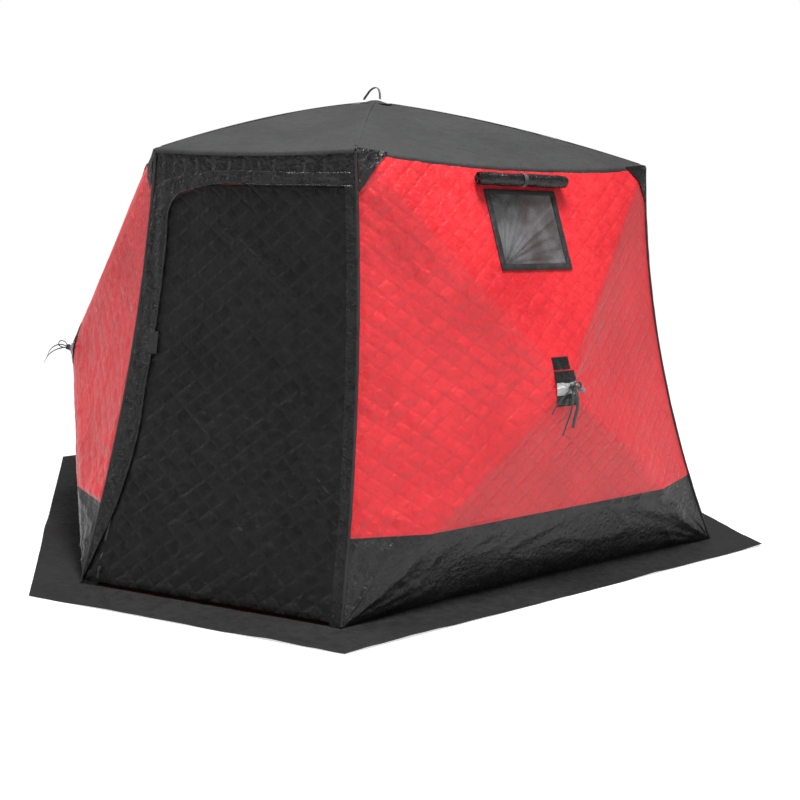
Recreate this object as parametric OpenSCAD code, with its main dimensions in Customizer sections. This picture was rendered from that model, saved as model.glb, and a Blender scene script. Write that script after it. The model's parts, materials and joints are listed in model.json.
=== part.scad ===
// Pop-up hub shelter for ice fishing: a six-sided insulated tent on a frame of five folding hubs.
// Millimetres, +Z up. The origin is on the ground at the middle of the floor plan, and the front
// door faces -Y. Corners are numbered anticlockwise from the front right one, and wall i runs from
// corner i to corner i + 1: walls 2 and 5 hold the doors, and the other four each hold a hub.

/* [Plan] */
// Width of each door wall at the ground
door_wall_w = 1120; // [900:10:1400]
// Width of each hub wall at the ground
hub_wall_w = 2000; // [1700:10:2300]
// Angle by which the outline turns at a door corner, in degrees
corner_turn = 54.5; // [50:0.5:60]
// Eaves outline as a share of the ground outline
taper = 0.763; // [0.7:0.01:0.85]

/* [Heights] */
// Height of the roof peak
peak_h = 2000; // [1900:10:2200]
// Height of the eaves
eaves_h = 1700; // [1600:10:1800]
// Height of the wall hubs
hub_h = 808; // [700:2:950]
// How far each wall hub stands out from its wall's plane
hub_bulge = 206; // [160:2:240]
// Height of the dark lower band
band_h = 300; // [200:10:400]

/* [Fabric] */
// Thickness of the quilted walls and roof
fabric_t = 4; // [3:0.5:5]
// Thickness of the skirt sheet
skirt_t = 3; // [2:0.5:4]
// Width of the skirt on the ground
skirt_w = 178; // [120:2:220]
// How far a corner seam curves in at mid height
seam_sag = 80; // [40:5:100]
// How far the eaves sag between two corners
eaves_sag = 42; // [0:2:60]

/* [Door] */
// Gap between the door panel and the surround
door_gap = 8; // [6:1:12]
// Width of the fixed strip on the zip side
zip_strip_w = 90; // [70:5:130]
// Width of the fixed strip on the hinge side
hinge_strip_w = 40; // [30:5:60]
// Depth of the fixed panel above the door
header_h = 130; // [110:5:200]
// Radius of the door's top corner on the zip side
arch_r = 190; // [120:10:240]

/* [Window] */
// Width of the window's clear pane
pane_w = 330; // [260:10:380]
// Height of the window's clear pane
pane_h = 300; // [240:10:340]
// Distance from the eaves down to the top of the pane
pane_drop = 165; // [150:5:200]
// Width of the stitched border round the pane
pane_border = 18; // [12:2:26]
// Diameter of the rolled-up window cover
roll_d = 56; // [40:2:64]
// Length of the rolled-up window cover
roll_w = 450; // [400:10:480]

/* [Frame] */
// Diameter of the fibreglass poles
pole_d = 11; // [9:0.5:12]
// Distance from a frame corner to the pole's hinge pin
pin_reach = 55; // [50:1:70]
// Radius of the hinge pins
pin_r = 2.5; // [2:0.1:3]
// Distance from a wall hub's axis to the tips of its poles
hub_tip_gap = 48; // [46:1:56]
// Distance from the roof hub's axis to the tips of its poles
roof_tip_gap = 88; // [86:1:94]

/* [Hidden] */
$fn = 32;
CORNERS = 6;
HUB_WALLS = [0, 1, 3, 4];
WINDOW_WALLS = [0, 3];   // the front right wall, and the one opposite it
UP = [0, 0, 1];
SEGMENTS = 4;          // straight pieces that stand for a curved edge
seam_gap = 5;          // room between two panels at a corner seam
sewn_gap = 2;          // how far each sheet's points draw in, so that neighbours stay apart
hem_z = skirt_t + 1;   // height of the walls' lower hem
hub_clear = 96;        // half the opening in the fabric at a wall hub, along its ridges
cap_clear = 134;       // radius of the opening in the roof at the peak, along its ridges
eye_play = 0.3;        // radial clearance of a pole's eye on its pin
frame_inset = 50;      // how far the frame's corners stand inside the fabric's
frame_lift = 45;       // and how far above the ground or below the eaves
hub_depth = 40;        // how far the frame's hubs sit behind the fabric
roof_depth = 48;       // the same below the roof's peak
side_half = door_wall_w / 2 + hub_wall_w * cos(corner_turn);
door_half = hub_wall_w * sin(corner_turn);

RED = [0.78, 0.07, 0.09];
BLACK = [0.09, 0.09, 0.1];
CHARCOAL = [0.2, 0.2, 0.21];
STEEL = [0.6, 0.61, 0.63];
POLE = [0.16, 0.17, 0.2];
PLASTIC = [0.08, 0.08, 0.09];
CLEAR = [0.75, 0.78, 0.8, 0.5];

// ---- points and directions ----

function unit(v) = v / norm(v);
function mix(a, b, t) = a + (b - a) * t;

// The ground plan
function corner(i) = [
    [door_wall_w / 2, -door_half, 0], [side_half, 0, 0], [door_wall_w / 2, door_half, 0],
    [-door_wall_w / 2, door_half, 0], [-side_half, 0, 0], [-door_wall_w / 2, -door_half, 0]
][i % CORNERS];
function eave(i) = [corner(i).x * taper, corner(i).y * taper, eaves_h];
function wall_mid(i) = (corner(i) + corner(i + 1)) / 2;
function eave_mid(i) = (eave(i) + eave(i + 1)) / 2;
function along(i) = unit(corner(i + 1) - corner(i));
function outward(i) = [along(i).y, -along(i).x, 0];
function facing(i) = atan2(outward(i).y, outward(i).x);

// The wall's own plane: lean is how far it tips in, rise its upward direction
function lean(i) = atan2((1 - taper) * (wall_mid(i) * outward(i)), eaves_h);
function rise(i) = outward(i) * -sin(lean(i)) + UP * cos(lean(i));
function normal(i) = outward(i) * cos(lean(i)) + UP * sin(lean(i));
function on_wall_plane(i, z) = mix(wall_mid(i), eave_mid(i), z / eaves_h);
function hub(i) = on_wall_plane(i, hub_h - hub_bulge * sin(lean(i))) + normal(i) * hub_bulge;
function local(i, p) = [
    (p - wall_mid(i)) * along(i), (p - wall_mid(i)) * rise(i), (p - wall_mid(i)) * normal(i)
];
peak = [0, 0, peak_h];

// Corner seams curve in between the ground and the eaves, and the eaves sag between corners
function is_side(i) = i % 3 == 1;
function seam_pull(i) = (is_side(i) ? [-sign(corner(i).x), 0, 0] : [0, -sign(corner(i).y), 0]) * seam_sag;
function seam(i, t) = mix(corner(i), eave(i), t) + seam_pull(i) * 4 * t * (1 - t);
function eave_sag(i) = (i % 3 == 2 ? 0.3 : 1) * eaves_sag;
function sag_way(i) = i % 3 == 2 ? -rise(i) : unit(hub(i) - eave_mid(i));
function eave_line(i, s) = mix(eave(i), eave(i + 1), s) + sag_way(i) * eave_sag(i) * 4 * s * (1 - s);

// The edge of wall i's fabric at its end k (0 or 1), at heights from t0 to t1
function wall_end(i, k, t0, t1) = [
    for (n = [0 : SEGMENTS])
        seam(i + k, mix(t0, t1, n / SEGMENTS)) + along(i) * seam_gap * (1 - 2 * k)
];
function toward(a, b, d) = a + unit(b - a) * d;
function hub_edge(a, b) = [for (n = [0 : SEGMENTS]) mix(a, b, n / SEGMENTS)];

// Frame points: the corners that carry the forks, and the hubs' middles
function inner_corner(i, p) = p - unit([p.x, p.y, 0]) * frame_inset;
function foot_joint(i) = inner_corner(i, corner(i)) + UP * frame_lift;
function eave_joint(i) = inner_corner(i, eave(i)) - UP * frame_lift;
function frame_hub(i) = hub(i) - normal(i) * hub_depth;
roof_frame_hub = peak - UP * roof_depth;

// Pole k of hub wall i: 0 and 1 rise from the ground corners, 2 and 3 drop from the eaves
function pole_corner(i, k) = k == 0 ? foot_joint(i) : k == 1 ? foot_joint(i + 1)
    : k == 2 ? eave_joint(i + 1) : eave_joint(i);
function pole_heading(i, k) =
    let (d = local(i, frame_hub(i)) - local(i, pole_corner(i, k))) atan2(d.y, d.x);
function pole_run(i, k) =
    let (d = local(i, frame_hub(i)) - local(i, pole_corner(i, k))) norm([d.x, d.y]) - pin_reach;
function pole_climb(i, k) =
    let (d = local(i, frame_hub(i)) - local(i, pole_corner(i, k))) atan2(d.z, pole_run(i, k));
function roof_heading(i) = atan2(-eave_joint(i).y, -eave_joint(i).x);
function roof_run(i) = norm([eave_joint(i).x, eave_joint(i).y]) - pin_reach;
function roof_climb(i) = atan2(roof_frame_hub.z - eave_joint(i).z, roof_run(i));

// ---- places ----

// Puts children in wall i's plane: x along the wall, y up it, z out of it
module on_wall(i) {
    translate(wall_mid(i)) rotate([90 - lean(i), 0, 90 + facing(i)]) children();
}

// The same on the upper panel of a hub wall, with y = 0 at the eaves
module on_upper_panel(i) {
    drop = hub(i) - eave_mid(i);
    tip = atan2(drop * outward(i), -drop.z);
    translate(eave_mid(i)) rotate([90 - tip, 0, 90 + facing(i)]) children();
}

// At the hinge pin of a wall pole: x towards the hub in the wall's plane, y along the pin
module at_pole(i, k) {
    on_wall(i) translate(local(i, pole_corner(i, k))) rotate([0, 0, pole_heading(i, k)]) children();
}

module at_roof_pole(i) {
    translate(eave_joint(i)) rotate([0, 0, roof_heading(i)]) children();
}

// ---- sheets ----

function mean(points) = [for (p = points) 1] * points / len(points);
function drawn_in(points) = [for (p = points) toward(p, mean(points), sewn_gap)];

// A sheet between two curved edges of the same number of points, thickened by push
module ribbon(edge_a, edge_b, push) {
    n = len(edge_a);
    outer = drawn_in(concat(edge_a, edge_b));
    points = concat(outer, [for (p = outer) p + push]);
    last = n - 1;
    faces = concat(
        [for (k = [0 : last - 1]) each [[k, k + 1, n + k + 1], [k, n + k + 1, n + k]]],
        [for (k = [0 : last - 1]) each [
            [2 * n + k, 3 * n + k + 1, 2 * n + k + 1], [2 * n + k, 3 * n + k, 3 * n + k + 1]
        ]],
        [for (k = [0 : last - 1]) each [
            [k + 1, k, 2 * n + k], [k + 1, 2 * n + k, 2 * n + k + 1]
        ]],
        [for (k = [0 : last - 1]) each [
            [n + k, n + k + 1, 3 * n + k + 1], [n + k, 3 * n + k + 1, 3 * n + k]
        ]],
        [[0, n, 3 * n], [0, 3 * n, 2 * n]],
        [[n + last, last, 2 * n + last], [n + last, 2 * n + last, 3 * n + last]]
    );
    turned = cross(edge_a[1] - edge_a[0], edge_b[0] - edge_a[0]) * push < 0;
    polyhedron(points, turned ? [for (f = faces) [f[2], f[1], f[0]]] : faces);
}

// A flat sheet with any convex outline, thickened by push
module plate(outline, push) {
    n = len(outline);
    outer = drawn_in(outline);
    points = concat(outer, [for (p = outer) p + push]);
    faces = concat(
        [for (k = [1 : n - 2]) [0, k, k + 1]],
        [for (k = [1 : n - 2]) [n, n + k + 1, n + k]],
        [for (k = [0 : n - 1]) each [
            [(k + 1) % n, k, n + k], [(k + 1) % n, n + k, n + (k + 1) % n]
        ]]
    );
    turned = cross(outline[1] - outline[0], outline[2] - outline[0]) * push < 0;
    polyhedron(points, turned ? [for (f = faces) [f[2], f[1], f[0]]] : faces);
}

// ---- fabric ----

module skirt() {
    // Each corner is mitred, so that a strip's ends follow the outline's turn there
    function mitre(i) = (outward(i + CORNERS - 1) + outward(i)) / (1 + outward(i + CORNERS - 1) * outward(i));
    color(CHARCOAL)
    for (i = [0 : CORNERS - 1]) {
        inner = [corner(i) - mitre(i) * 12, corner(i + 1) - mitre(i + 1) * 12];
        outer = [corner(i) + mitre(i) * skirt_w, corner(i + 1) + mitre(i + 1) * skirt_w];
        plate([inner[0], outer[0], outer[1], inner[1]], UP * skirt_t);
    }
}

// Where the band's top line crosses the ridge that runs from a ground corner to the hub
function band_ridge(i, k) = mix(corner(i + k), hub(i), band_h / hub(i).z);

module lower_bands() {
    tip_h = 26;
    color(BLACK)
    for (i = HUB_WALLS) {
        hem = [for (k = [0, 1])
            mix(corner(i + k), hub(i), hem_z / hub(i).z) + along(i) * seam_gap * (1 - 2 * k)];
        push = normal(i) * -fabric_t;
        plate([hem[0], hem[1], band_ridge(i, 1), band_ridge(i, 0)], push);
        for (k = [0, 1]) {
            tip = mix(corner(i + k), hub(i), tip_h / hub(i).z);
            ribbon(wall_end(i, k, tip_h / eaves_h, band_h / eaves_h), hub_edge(tip, band_ridge(i, k)), push);
        }
    }
}

// The red quilted fabric of a hub wall: four panels that rise to the hub
module hub_wall(i) {
    push = normal(i) * -fabric_t;
    t_band = band_h / eaves_h;
    t_top = 1 - 10 / eaves_h;
    low = [for (k = [0, 1]) toward(hub(i), corner(i + k), hub_clear)];
    high = [for (k = [0, 1]) toward(hub(i), eave(i + k), hub_clear)];
    top = [for (n = [0 : SEGMENTS])
        mix(eave_line(i, n / SEGMENTS), hub(i), 0.012) + along(i) * seam_gap * (1 - 2 * n / SEGMENTS)
    ];
    color(RED) {
        plate([band_ridge(i, 0), band_ridge(i, 1), low[1], low[0]], push);
        for (k = [0, 1]) {
            ribbon(
                wall_end(i, k, t_band, t_top),
                concat([band_ridge(i, k)], [for (n = [0 : SEGMENTS - 1])
                    n < SEGMENTS - 1 ? mix(low[k], high[k], n / (SEGMENTS - 1)) : high[k]]),
                push
            );
        }
        difference() {
            ribbon(top, hub_edge(high[0], high[1]), push);
            if (i % 3 == 0) on_upper_panel(i)
                translate([-pane_w / 2, -pane_drop - pane_h, -80])
                cube([pane_w, pane_h, 120]);
        }
    }
}

module wall_front_right() hub_wall(0);
module wall_back_right() hub_wall(1);
module wall_back_left() hub_wall(3);
module wall_front_left() hub_wall(4);

module roof_canopy() {
    color(CHARCOAL)
    for (i = [0 : CORNERS - 1]) {
        edge = [for (n = [0 : SEGMENTS]) eave_line(i, n / SEGMENTS)];
        ring = hub_edge(toward(peak, eave(i), cap_clear), toward(peak, eave(i + 1), cap_clear));
        ribbon(edge, ring, UP * -fabric_t);
    }
}

// Dark triangles that carry the roof's cloth down over each corner, folded along the ridge
module corner_gussets() {
    share = 0.09;
    ridge_reach = 105;
    seam_reach = 165;
    color(BLACK)
    for (i = HUB_WALLS, k = [0, 1]) {
        shift = along(i) * seam_gap * (1 - 2 * k) - UP * 10 + normal(i) * 7;
        top = eave(i + k) + shift;
        side = eave_line(i, k + share * (1 - 2 * k)) + shift;
        ridge = toward(eave(i + k), hub(i), ridge_reach) + shift;
        foot = toward(eave(i + k), seam(i + k, 0.85), seam_reach) + shift;
        plate([top, side, ridge], normal(i) * -1.5);
        plate([top, ridge, foot], normal(i) * -1.5);
    }
}

// ---- doors ----

// A point of door wall i: s across it in mm from the zip-side seam, t the share of its height
function door_point(i, s, t) = seam(i, t) + unit(seam(i + 1, t) - seam(i, t)) * s;
function door_span(i, t) = norm(seam(i + 1, t) - seam(i, t));
t_hem = hem_z / eaves_h;
t_sill = (hem_z + 14) / eaves_h;
t_lintel = 1 - header_h / eaves_h;
// The door's free edge: straight, then a quarter turn into its top
door_rows = concat(
    [for (n = [0 : 3]) mix(t_sill, t_lintel - arch_r / eaves_h, n / 3)],
    [for (a = [30, 60, 90]) t_lintel - arch_r / eaves_h * (1 - sin(a))]
);
function free_edge(t) =
    let (up = max(0, (t - t_lintel) * eaves_h + arch_r) / arch_r)
    zip_strip_w + arch_r * (1 - sqrt(max(0, 1 - up * up)));

module door_leaf(i) {
    color(BLACK)
    ribbon(
        [for (t = door_rows) door_point(i, free_edge(t) + door_gap / 2, t)],
        [for (t = door_rows) door_point(i, door_span(i, t) - hinge_strip_w - door_gap / 2, t)],
        normal(i) * -fabric_t
    );
}

module door_surround(i) {
    push = normal(i) * -fabric_t;
    t_top = 1 - 10 / eaves_h;
    lintel = [for (s = [0 : SEGMENTS])
        door_point(i, mix(seam_gap, door_span(i, t_lintel) - seam_gap, s / SEGMENTS),
            t_lintel + door_gap / 2 / eaves_h)];
    top = [for (s = [0 : SEGMENTS])
        door_point(i, mix(seam_gap, door_span(i, t_top) - seam_gap, s / SEGMENTS), t_top)
            - UP * eave_sag(i) * 4 * s / SEGMENTS * (1 - s / SEGMENTS)];
    rows = concat([t_hem], door_rows);
    color(BLACK) {
        ribbon(lintel, top, push);
        ribbon(
            [for (t = rows) door_point(i, seam_gap, t)],
            [for (t = rows) door_point(i, free_edge(t) - door_gap / 2, t)],
            push
        );
        ribbon(
            [for (t = rows) door_point(i, door_span(i, t) - hinge_strip_w + door_gap / 2, t)],
            [for (t = rows) door_point(i, door_span(i, t) - seam_gap, t)],
            push
        );
    }
}

module door_surround_front() door_surround(5);
module door_surround_back() door_surround(2);
module door_front() door_leaf(5);
module door_back() door_leaf(2);

// The zip's tape lies on the fixed strip beside the door's free edge
zip_rows = [for (n = [0 : 3]) door_rows[n]];
tape_w = 14;
tape_inset = 8;    // from the strip's edge to the tape
tape_t = 1.5;
tape_lift = 3;
module zipper(i) {
    lift = normal(i) * tape_lift;
    color(PLASTIC)
    ribbon(
        [for (t = zip_rows) door_point(i, zip_strip_w - tape_inset - tape_w, t) + lift],
        [for (t = zip_rows) door_point(i, zip_strip_w - tape_inset, t) + lift],
        normal(i) * -tape_t
    );
}
module zipper_front() zipper(5);
module zipper_back() zipper(2);

// A slider with its pull tab, at the bottom of the zip's straight lower stretch
slider_t = [0.04, 0.45];
slider_out = 14;
tape_mid = zip_strip_w - tape_inset - tape_w / 2;
function slider_from(i) = door_point(i, tape_mid, slider_t[0]) + normal(i) * slider_out;
function slider_to(i) = door_point(i, tape_mid, slider_t[1]) + normal(i) * slider_out;
module zip_slider(i) {
    climb = slider_to(i) - slider_from(i);
    color(STEEL)
    translate(slider_from(i))
    rotate([90 - atan2(-(climb * outward(i)), climb.z), 0, 90 + facing(i)]) {
        translate([-7, -9, -4]) cube([14, 18, 6]);
        difference() {
            translate([-4, -38, 3]) cube([8, 40, 2]);
            translate([0, -33, 0]) cylinder(r = 2, h = 8);
        }
        translate([-3, -3, 1]) cube([6, 4, 3]);
    }
}
module zip_slider_front() zip_slider(5);
module zip_slider_back() zip_slider(2);

// ---- windows ----

module window_frames() {
    color(BLACK)
    for (i = WINDOW_WALLS) {
        on_upper_panel(i) translate([0, -pane_drop - pane_h / 2, 2])
        difference() {
            translate([-pane_w / 2 - pane_border, -pane_h / 2 - pane_border, 0])
                cube([pane_w + 2 * pane_border, pane_h + 2 * pane_border, 3]);
            translate([-pane_w / 2, -pane_h / 2, -1]) cube([pane_w, pane_h, 5]);
        }
    }
}

module window_panes() {
    color(CLEAR)
    for (i = WINDOW_WALLS) {
        on_upper_panel(i) translate([-pane_w / 2 + 1, -pane_drop - pane_h + 1, 2.5])
            cube([pane_w - 2, pane_h - 2, 1.5]);
    }
}

roll_y = -pane_drop + pane_border + roll_d / 2 + 4;
roll_out = roll_d / 2 + 6;   // how far the roll's middle stands out from the wall
roll_end = 6;                // the lining that shows at one end of the roll
roll_end_d = roll_d - 14;
tie_w = 18;
tie_t = 2;
module window_covers() {
    for (i = WINDOW_WALLS) {
        on_upper_panel(i) translate([-roll_w / 2, roll_y, roll_out]) rotate([0, 90, 0]) {
            color(BLACK) cylinder(d = roll_d, h = roll_w);
            color(RED) translate([0, 0, -roll_end]) cylinder(d = roll_end_d, h = roll_end);
        }
    }
}

module window_cover_ties() {
    color(PLASTIC)
    for (i = WINDOW_WALLS) {
        on_upper_panel(i) translate([-tie_w / 2, roll_y, roll_out]) rotate([0, 90, 0])
        difference() {
            cylinder(d = roll_d + 1 + 2 * tie_t, h = tie_w);
            translate([0, 0, -1]) cylinder(d = roll_d + 1, h = tie_w + 2);
        }
    }
}

// ---- frame ----

eye_r = 9;
eye_w = 12;
cheek_t = 4;
cheek_gap = 7.5;
cheek_h = 18;
cheek_l = 40;
cheek_back = 28;   // how far a fork's cheeks reach back from its pin
arm_w = 14;
fork_root = 10;
// One fork: an arm from the frame's corner to two cheeks that hold a hinge pin
module fork() {
    difference() {
        union() {
            translate([0, -arm_w / 2, -arm_w / 2]) cube([pin_reach - cheek_back + 6, arm_w, arm_w]);
            translate([pin_reach - cheek_back, -cheek_gap - cheek_t, -cheek_h / 2])
                cube([fork_root, 2 * (cheek_gap + cheek_t), cheek_h]);
            for (side = [-1, 1]) {
                translate([pin_reach - cheek_back, side * (cheek_gap + cheek_t / 2) - cheek_t / 2, -cheek_h / 2])
                    cube([cheek_l, cheek_t, cheek_h]);
            }
        }
        translate([pin_reach, 20, 0]) rotate([90, 0, 0]) cylinder(r = pin_r, h = 40);
    }
}

core_r = 17;
core_h = 32;
module fork_core() cylinder(r = core_r, h = core_h, center = true);

foot_r = 26;
foot_h = 8;
foot_gap = 2;   // room between a foot and the skirt below it
stem_r = 10;

module top_corner_forks() {
    color(PLASTIC)
    for (i = [0 : CORNERS - 1]) {
        union() {
            translate(eave_joint(i)) fork_core();
            at_roof_pole(i) fork();
            if (i % 3 != 2) at_pole(i, 3) fork();
            if (i % 3 != 0) at_pole(i + CORNERS - 1, 2) fork();
        }
    }
}

module foot_corner_forks() {
    color(PLASTIC)
    for (i = [0 : CORNERS - 1]) {
        union() {
            translate(foot_joint(i)) {
                fork_core();
                translate([0, 0, -frame_lift + hem_z + foot_gap]) cylinder(r = foot_r, h = foot_h);
                translate([0, 0, -frame_lift + hem_z + foot_h - foot_gap])
                    cylinder(r = stem_r, h = frame_lift - hem_z - 6);
            }
            if (i % 3 != 2) at_pole(i, 0) fork();
            if (i % 3 != 0) at_pole(i + CORNERS - 1, 1) fork();
        }
    }
}

module hinge_pin() {
    pin_h = 2 * (cheek_gap + cheek_t);
    translate([pin_reach, pin_h / 2, 0]) rotate([90, 0, 0]) cylinder(r = pin_r, h = pin_h);
}

module hinge_pins() {
    color(STEEL) {
        for (i = HUB_WALLS, k = [0 : 3]) at_pole(i, k) hinge_pin();
        for (i = [0 : CORNERS - 1]) at_roof_pole(i) hinge_pin();
    }
}

// A pole from its eye on the hinge pin to its tip in the hub's slot
module pole(run, climb, tip_gap) {
    reach = (run - tip_gap) / cos(climb);
    ferrule = 52;
    ferrule_r = 7;
    neck = [6, 60];    // radius and length of the sleeve beside the eye
    tip_r = 6.5;
    color(POLE)
    translate([pin_reach, 0, 0]) rotate([0, -climb, 0])
    difference() {
        union() {
            translate([0, eye_w / 2, 0]) rotate([90, 0, 0]) cylinder(r = eye_r, h = eye_w);
            rotate([0, 90, 0]) {
                translate([0, 0, 4]) cylinder(r = neck[0], h = neck[1]);
                cylinder(r = pole_d / 2, h = reach - 2);
                for (share = [0.36, 0.68]) {
                    translate([0, 0, reach * share]) cylinder(r = ferrule_r, h = ferrule);
                }
                translate([0, 0, reach - ferrule]) cylinder(r = tip_r, h = ferrule);
            }
        }
        translate([0, 10, 0]) rotate([90, 0, 0]) cylinder(r = pin_r + eye_play, h = 20);
    }
}

module wall_pole(i, k) at_pole(i, k) pole(pole_run(i, k), pole_climb(i, k), hub_tip_gap);
module roof_pole(i) at_roof_pole(i) pole(roof_run(i), roof_climb(i), roof_tip_gap);

// Two cheeks that guide a pole's tip beside a hub
module tip_slot(from, to) {
    for (side = [-1, 1]) {
        translate([from, side * 10 - 2, -13]) cube([to - from, 4, 26]);
    }
}

// The hub's outer boss ends just short of the pull strap's knot
knot_r = 11;
knot_w = 32;
strap_out = 12;
strap_boss_h = hub_depth + strap_out - knot_r - 0.6 - 32;
module wall_hub(i) {
    color(PLASTIC)
    on_wall(i) translate(local(i, frame_hub(i))) {
        translate([0, 0, -14]) cylinder(r = 26, h = 28);
        translate([0, 0, 12]) cylinder(r = 18, h = 22);
        translate([0, 0, 30]) cylinder(r = 42, h = 4);
        translate([0, 0, 32]) cylinder(r = 7, h = strap_boss_h);
        for (k = [0 : 3]) {
            rotate([0, 0, pole_heading(i, k) + 180]) tip_slot(20, 66);
        }
    }
}

module hub_front_right() wall_hub(0);
module hub_back_right() wall_hub(1);
module hub_back_left() wall_hub(3);
module hub_front_left() wall_hub(4);

module roof_hub() {
    color(PLASTIC)
    translate(roof_frame_hub) {
        translate([0, 0, -15]) cylinder(r = 44, h = 30);
        translate([0, 0, 14]) cylinder(r = 20, h = roof_depth - 20);
        for (i = [0 : CORNERS - 1]) {
            rotate([0, 0, roof_heading(i) + 180]) tip_slot(40, 112);
        }
    }
}

// The round reinforced cap over the roof's hub, with a stitched tab under each foot of the loop
module roof_cap() {
    tab = [8, 2, 6];
    tab_gap = 2.2;   // from a tab's top up to the loop's fold line
    color(BLACK) {
        translate([0, 0, peak_h - 2]) rotate_extrude() polygon([
            [0, 0], [100, -12], [100, -9], [70, 0], [30, 4], [0, 5]
        ]);
        for (side = [-1, 1]) {
            translate([side * (loop_half - loop_t / 2) - tab.x / 2, -tab.y / 2, peak_h + loop_lift - tab_gap - tab.z])
                cube([tab.x, tab.y, tab.z]);
        }
    }
}

loop_lift = 8;
loop_half = 40;
loop_h = 56;
loop_t = 3;
webbing_w = 25;
loop_foot_w = 8;
// A webbing loop that stands on the cap, for pulling the roof's hub up, with its feet folded narrow
module roof_pull_loop() {
    color(BLACK)
    translate([0, 0, peak_h + loop_lift]) intersection() {
        rotate([90, 0, 0]) linear_extrude(webbing_w, center = true) difference() {
            scale([loop_half, loop_h]) circle(r = 1);
            scale([loop_half - loop_t, loop_h - loop_t]) circle(r = 1);
            translate([-100, -200]) square([200, 200]);
        }
        rotate([90, 0, 90]) linear_extrude(100, center = true) polygon([
            [-loop_foot_w / 2, 0], [loop_foot_w / 2, 0], [webbing_w / 2, 14],
            [webbing_w / 2, 100], [-webbing_w / 2, 100], [-webbing_w / 2, 14]
        ]);
    }
}

// Two webbing tails that hang from the knot outside a wall hub
strap_hang = 150;
tail_w = 16;
tail_t = 3;
tail_spread = 9;   // degrees that each tail hangs to its side
function strap_root(i) = hub(i) + normal(i) * strap_out;
module pull_strap(i) {
    color(BLACK)
    translate(strap_root(i)) rotate([0, 0, 90 + facing(i)]) {
        rotate([0, 90, 0]) cylinder(r = knot_r, h = knot_w, center = true);
        for (side = [-1, 1]) {
            rotate([0, -side * tail_spread, 0]) translate([side * 9 - tail_w / 2, -5, -strap_hang])
                cube([tail_w, tail_t, strap_hang - 5]);
        }
    }
}

module pull_strap_front_right() pull_strap(0);
module pull_strap_back_right() pull_strap(1);
module pull_strap_back_left() pull_strap(3);
module pull_strap_front_left() pull_strap(4);

module roof_pole_front_right() roof_pole(0);
module roof_pole_right() roof_pole(1);
module roof_pole_back_right() roof_pole(2);
module roof_pole_back_left() roof_pole(3);
module roof_pole_left() roof_pole(4);
module roof_pole_front_left() roof_pole(5);
module pole_front_right_lower_door() wall_pole(0, 0);
module pole_front_right_lower_side() wall_pole(0, 1);
module pole_front_right_upper_side() wall_pole(0, 2);
module pole_front_right_upper_door() wall_pole(0, 3);
module pole_back_right_lower_side() wall_pole(1, 0);
module pole_back_right_lower_door() wall_pole(1, 1);
module pole_back_right_upper_door() wall_pole(1, 2);
module pole_back_right_upper_side() wall_pole(1, 3);
module pole_back_left_lower_door() wall_pole(3, 0);
module pole_back_left_lower_side() wall_pole(3, 1);
module pole_back_left_upper_side() wall_pole(3, 2);
module pole_back_left_upper_door() wall_pole(3, 3);
module pole_front_left_lower_side() wall_pole(4, 0);
module pole_front_left_lower_door() wall_pole(4, 1);
module pole_front_left_upper_door() wall_pole(4, 2);
module pole_front_left_upper_side() wall_pole(4, 3);

skirt();
lower_bands();
wall_front_right();
wall_back_right();
wall_back_left();
wall_front_left();
roof_canopy();
corner_gussets();
door_surround_front();
door_surround_back();
zipper_front();
zipper_back();
window_frames();
window_panes();
window_covers();
window_cover_ties();
top_corner_forks();
foot_corner_forks();
hinge_pins();
door_front();
door_back();
zip_slider_front();
zip_slider_back();
roof_hub();
roof_cap();
roof_pull_loop();
roof_pole_front_right();
roof_pole_right();
roof_pole_back_right();
roof_pole_back_left();
roof_pole_left();
roof_pole_front_left();
hub_front_right();
hub_back_right();
hub_back_left();
hub_front_left();
pull_strap_front_right();
pull_strap_back_right();
pull_strap_back_left();
pull_strap_front_left();
pole_front_right_lower_door();
pole_front_right_lower_side();
pole_front_right_upper_side();
pole_front_right_upper_door();
pole_back_right_lower_side();
pole_back_right_lower_door();
pole_back_right_upper_door();
pole_back_right_upper_side();
pole_back_left_lower_door();
pole_back_left_lower_side();
pole_back_left_upper_side();
pole_back_left_upper_door();
pole_front_left_lower_side();
pole_front_left_lower_door();
pole_front_left_upper_door();
pole_front_left_upper_side();
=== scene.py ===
import json
import math

import bpy
import numpy as np
from mathutils import Matrix, Vector
from numpy import array, concatenate, cos, cross, exp, hypot, linspace, pi, sin


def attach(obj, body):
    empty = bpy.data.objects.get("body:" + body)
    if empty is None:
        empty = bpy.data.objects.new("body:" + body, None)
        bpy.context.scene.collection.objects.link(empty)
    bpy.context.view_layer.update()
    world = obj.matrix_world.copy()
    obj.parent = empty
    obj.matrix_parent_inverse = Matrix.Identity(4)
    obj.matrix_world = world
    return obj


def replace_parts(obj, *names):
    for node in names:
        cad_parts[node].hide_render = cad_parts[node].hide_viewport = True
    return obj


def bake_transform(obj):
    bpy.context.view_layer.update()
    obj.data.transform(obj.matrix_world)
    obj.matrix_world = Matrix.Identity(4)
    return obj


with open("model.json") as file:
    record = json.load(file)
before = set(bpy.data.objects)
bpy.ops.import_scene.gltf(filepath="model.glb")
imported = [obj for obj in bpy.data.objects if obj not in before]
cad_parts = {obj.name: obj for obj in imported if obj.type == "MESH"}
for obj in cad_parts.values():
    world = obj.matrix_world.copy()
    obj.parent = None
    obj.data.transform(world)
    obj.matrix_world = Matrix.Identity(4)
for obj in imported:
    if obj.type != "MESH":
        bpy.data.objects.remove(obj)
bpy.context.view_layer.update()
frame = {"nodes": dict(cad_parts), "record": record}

# ---- the plan, in metres, as in the part's source ----

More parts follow.
